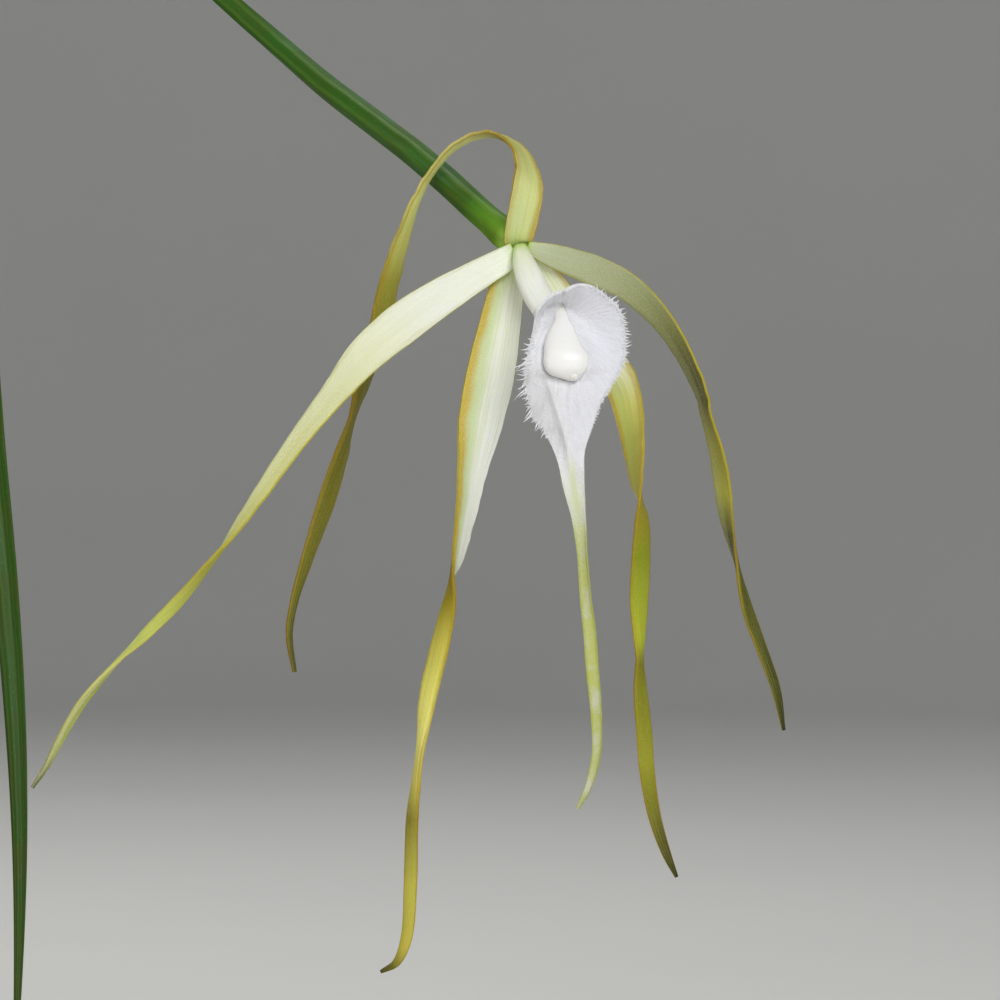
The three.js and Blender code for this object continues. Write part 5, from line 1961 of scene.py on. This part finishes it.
    def claw_tube(self) -> bpy.types.Object:
        """Returns the claw: a flattened tube round the column, which widens towards the blade."""
        grid = flat_tube(self.claw, self.claw_rows, self.claw_sides, (0.7, 0.9), self.claw_wall)
        tube = shaped_grid("claw", grid, closed=True, smooth=80)
        put_material(tube, ClawFinish().material())
        apply_modifier(tube, "SOLIDIFY", thickness=self.claw_wall * MM, offset=1.0)
        return tube

    def fringe(self, grid: Grid) -> bpy.types.Object:
        """Sets fine curved teeth along the blade's margins: many short ones, and long ones among them.

        Args:
            grid: the blade's front surface.

        Returns:
            All teeth as one object.
        """
        rng = random.Random(self.tooth_seed)
        end = self.blade_rows - 4
        left = [(grid[r][-1], grid[r][-3]) for r in range(2, end)]
        right = [(grid[r][0], grid[r][2]) for r in range(2, end)]
        top = [(grid[0][j], grid[2][j]) for j in range(1, self.columns - 1)]
        model = self.tooth_model()
        middle = flower_point(*self.throat, self.throat_back) + Vector((0, 0, -3.0))
        teeth = []
        for margin, short, long, spacing in (
            (left, self.left_short, self.left_long, self.left_gap),
            (right, self.right_short, self.right_long, self.right_gap),
            (top, self.top_short, self.top_long, self.right_gap),
        ):
            for lengths, gap in ((short, self.short_gap), (long, spacing)):
                walked = 0.0
                for k, ((edge, inner), (below, _)) in enumerate(zip(margin, margin[1:])):
                    walked += (below - edge).length
                    if walked < gap:
                        continue
                    walked = rng.uniform(-0.35, 0.1) * gap
                    length = lengths(k / (len(margin) - 1)) * rng.uniform(0.5, 1.25)
                    if length > self.shortest_tooth:
                        away = edge - middle
                        away = Vector((away.x, 0, away.z)).normalized()
                        outward = (edge - inner).normalized().lerp(away, self.away_share).normalized()
                        beside = (below - edge).normalized()
                        teeth.append(self.tooth(model, edge, outward, beside, length, rng))
        bpy.data.objects.remove(model)
        return joined("fringe", teeth)

    def left_short(self, share: float) -> float:
        """Returns a short left tooth's length, by the share down the blade."""
        return 0.5 * smoothstep(0.02, 0.15, share) * (1 - smoothstep(0.6, 0.85, share)) + 0.06

    def left_long(self, share: float) -> float:
        """Returns a long left tooth's length, by the share down the blade."""
        return 1.7 * smoothstep(0.02, 0.16, share) * (1 - smoothstep(0.6, 0.8, share))

    def right_short(self, share: float) -> float:
        """Returns a short right tooth's length, by the share down the blade."""
        return 0.42 * (1 - smoothstep(0.3, 0.85, share)) + 0.06

    def right_long(self, share: float) -> float:
        """Returns a long right tooth's length, by the share down the blade."""
        return 0.4 * (1 - smoothstep(0.2, 0.42, share)) + 0.5 * (1 - smoothstep(0.45, 0.85, share))

    def top_short(self, share: float) -> float:
        """Returns a short top tooth's length, by the share from right to left."""
        return 0.12 + 0.3 * (1 - smoothstep(0.1, 0.6, share))

    def top_long(self, share: float) -> float:
        """Returns a long top tooth's length, by the share from right to left."""
        return 0.15 + 0.85 * (1 - smoothstep(0.12, 0.6, share))

    def tooth_model(self) -> bpy.types.Object:
        """Returns one straight tooth, one millimetre long along Z, and one wide."""
        grid = []
        corners = [Vector((0.5, 0, 0)), Vector((0, 0.3, 0)), Vector((-0.5, 0, 0)), Vector((0, -0.3, 0))]
        outline = ((-0.4, 0.0), (-0.4, 0.9), (0.0, 1.0), (0.4, 0.62), (0.75, 0.3), (1.0, 0.08), (1.0, 0.0))
        for up, size in outline:
            grid.append([corners[k % 4] * size + Vector((0, 0, up)) for k in range(5)])
        tooth = shaped_grid("tooth", grid, closed=True)
        layer = tooth.data.uv_layers[0].data
        layer.foreach_set("uv", [0.5, 0.08] * len(layer))
        return tooth

    def tooth(
        self,
        model: bpy.types.Object,
        base: Vector,
        outward: Vector,
        beside: Vector,
        length: float,
        rng: random.Random,
    ) -> bpy.types.Object:
        """Copies the tooth and gives it its length, lean and curve.

        Args:
            model: the straight tooth.
            base: where it leaves the margin.
            outward: the direction away from the blade.
            beside: the direction along the margin.
            length: its length.
            rng: what its lean and curve are drawn from.

        Returns:
            The tooth's object.
        """
        face = outward.cross(beside).normalized()
        way = (outward + beside * rng.uniform(-0.45, 0.5) + face * rng.uniform(-0.3, 0.3)).normalized()
        curl = beside * rng.uniform(-0.5, 0.5) * length
        wide = rng.uniform(0.18, 0.26) + 0.10 * length
        tooth = copied(model)
        for vertex in tooth.data.vertices:
            x, y, z = vertex.co / MM
            point = base + way * (length * z) + curl * (z * z)
            vertex.co = (point + beside * (wide * x) + face * (wide * 0.8 * y)) * MM
        return tooth


@dataclass
class Studio:
    """A pale floor that rises all round to a low wall, soft lights, and the camera."""

    floor_radius: float = 2200
    cove: float = 900
    wall_height: float = 2600
    sides: int = 96
    lens: float = 141.4
    air: str = "#e9edf2"
    air_strength: float = 0.29
    lights: tuple[tuple[str, Row, float, float, Row], ...] = (
        ("key", (0.58, -1.45, 0.74), 0.8, 14.4, (0.16, -0.06, 0.13)),
        ("fill", (-1.2, -0.9, 0.55), 1.1, 3.9, (0.1, -0.03, 0.13)),
        ("top", (-0.2, 0.7, 1.3), 1.0, 9.0, (0.05, 0.0, 0.12)),
    )

    def build(self) -> None:
        """Builds the floor, the lights and the camera."""
        profile = [(0.0, 0.0), (self.floor_radius * 0.5, 0.0), (self.floor_radius, 0.0)]
        for k in range(1, 13):
            angle = math.pi / 2 * k / 12
            profile.append((
                self.floor_radius + self.cove * math.sin(angle), self.cove * (1 - math.cos(angle)),
            ))
        profile.append((self.floor_radius + self.cove, self.wall_height))
        floor = shaped_grid("studio_floor", turned_grid(profile, self.sides), closed=True, smooth=80)
        put_material(floor, StageFinish().material())
        for lamp in self.lights:
            self.light(*lamp)
        world = bpy.data.worlds.new("studio_air")
        bpy.context.scene.world = world
        world.use_nodes = True
        background = world.node_tree.nodes["Background"]
        background.inputs["Color"].default_value = linear_colour(self.air)
        background.inputs["Strength"].default_value = self.air_strength
        self.camera()
        bpy.context.scene.view_settings.view_transform = "Standard"

    def light(self, name: str, place: Row, size: float, watts: float, target: Row) -> None:
        """Adds one soft area light that shines at a target.

        Args:
            name: its name.
            place: where it stands, in metres.
            size: its width.
            watts: its power.
            target: what it points at.
        """
        deselect()
        turn = (Vector(target) - Vector(place)).to_track_quat("-Z", "Y")
        bpy.ops.object.light_add(type="AREA", location=place, rotation=turn.to_euler())
        light = bpy.context.object
        light.name = name
        light.data.shape = "DISK"
        light.data.size = size
        light.data.energy = watts

    def camera(self) -> None:
        """Adds the camera at the flower's front view."""
        deselect()
        place = VIEW_CENTRE + Vector((0, -VIEW_DISTANCE, 0))
        bpy.ops.object.camera_add(location=place * MM, rotation=(math.radians(90), 0, 0))
        camera = bpy.context.object
        camera.data.lens = self.lens
        camera.data.sensor_width = 36
        camera.data.clip_start = 0.01
        camera.data.clip_end = 20
        bpy.context.scene.camera = camera


def main() -> None:
    """Builds the studio and every sub-assembly."""
    logging.basicConfig(level=logging.INFO, format="%(name)s: %(message)s")
    Studio().build()
    pot = ClayPot()
    pot.build()
    BarkBed(pot).build()
    rhizome = Rhizome()
    rhizome.build()
    AerialRoots().build()
    stems = Stems(rhizome)
    stems.build()
    Leaves(stems).build()
    FlowerStalk(stems).build()
    for tepal in tepals():
        tepal.build()
    column = Column()
    column.build()
    Lip(column).build()


if __name__ == "__main__":
    main()
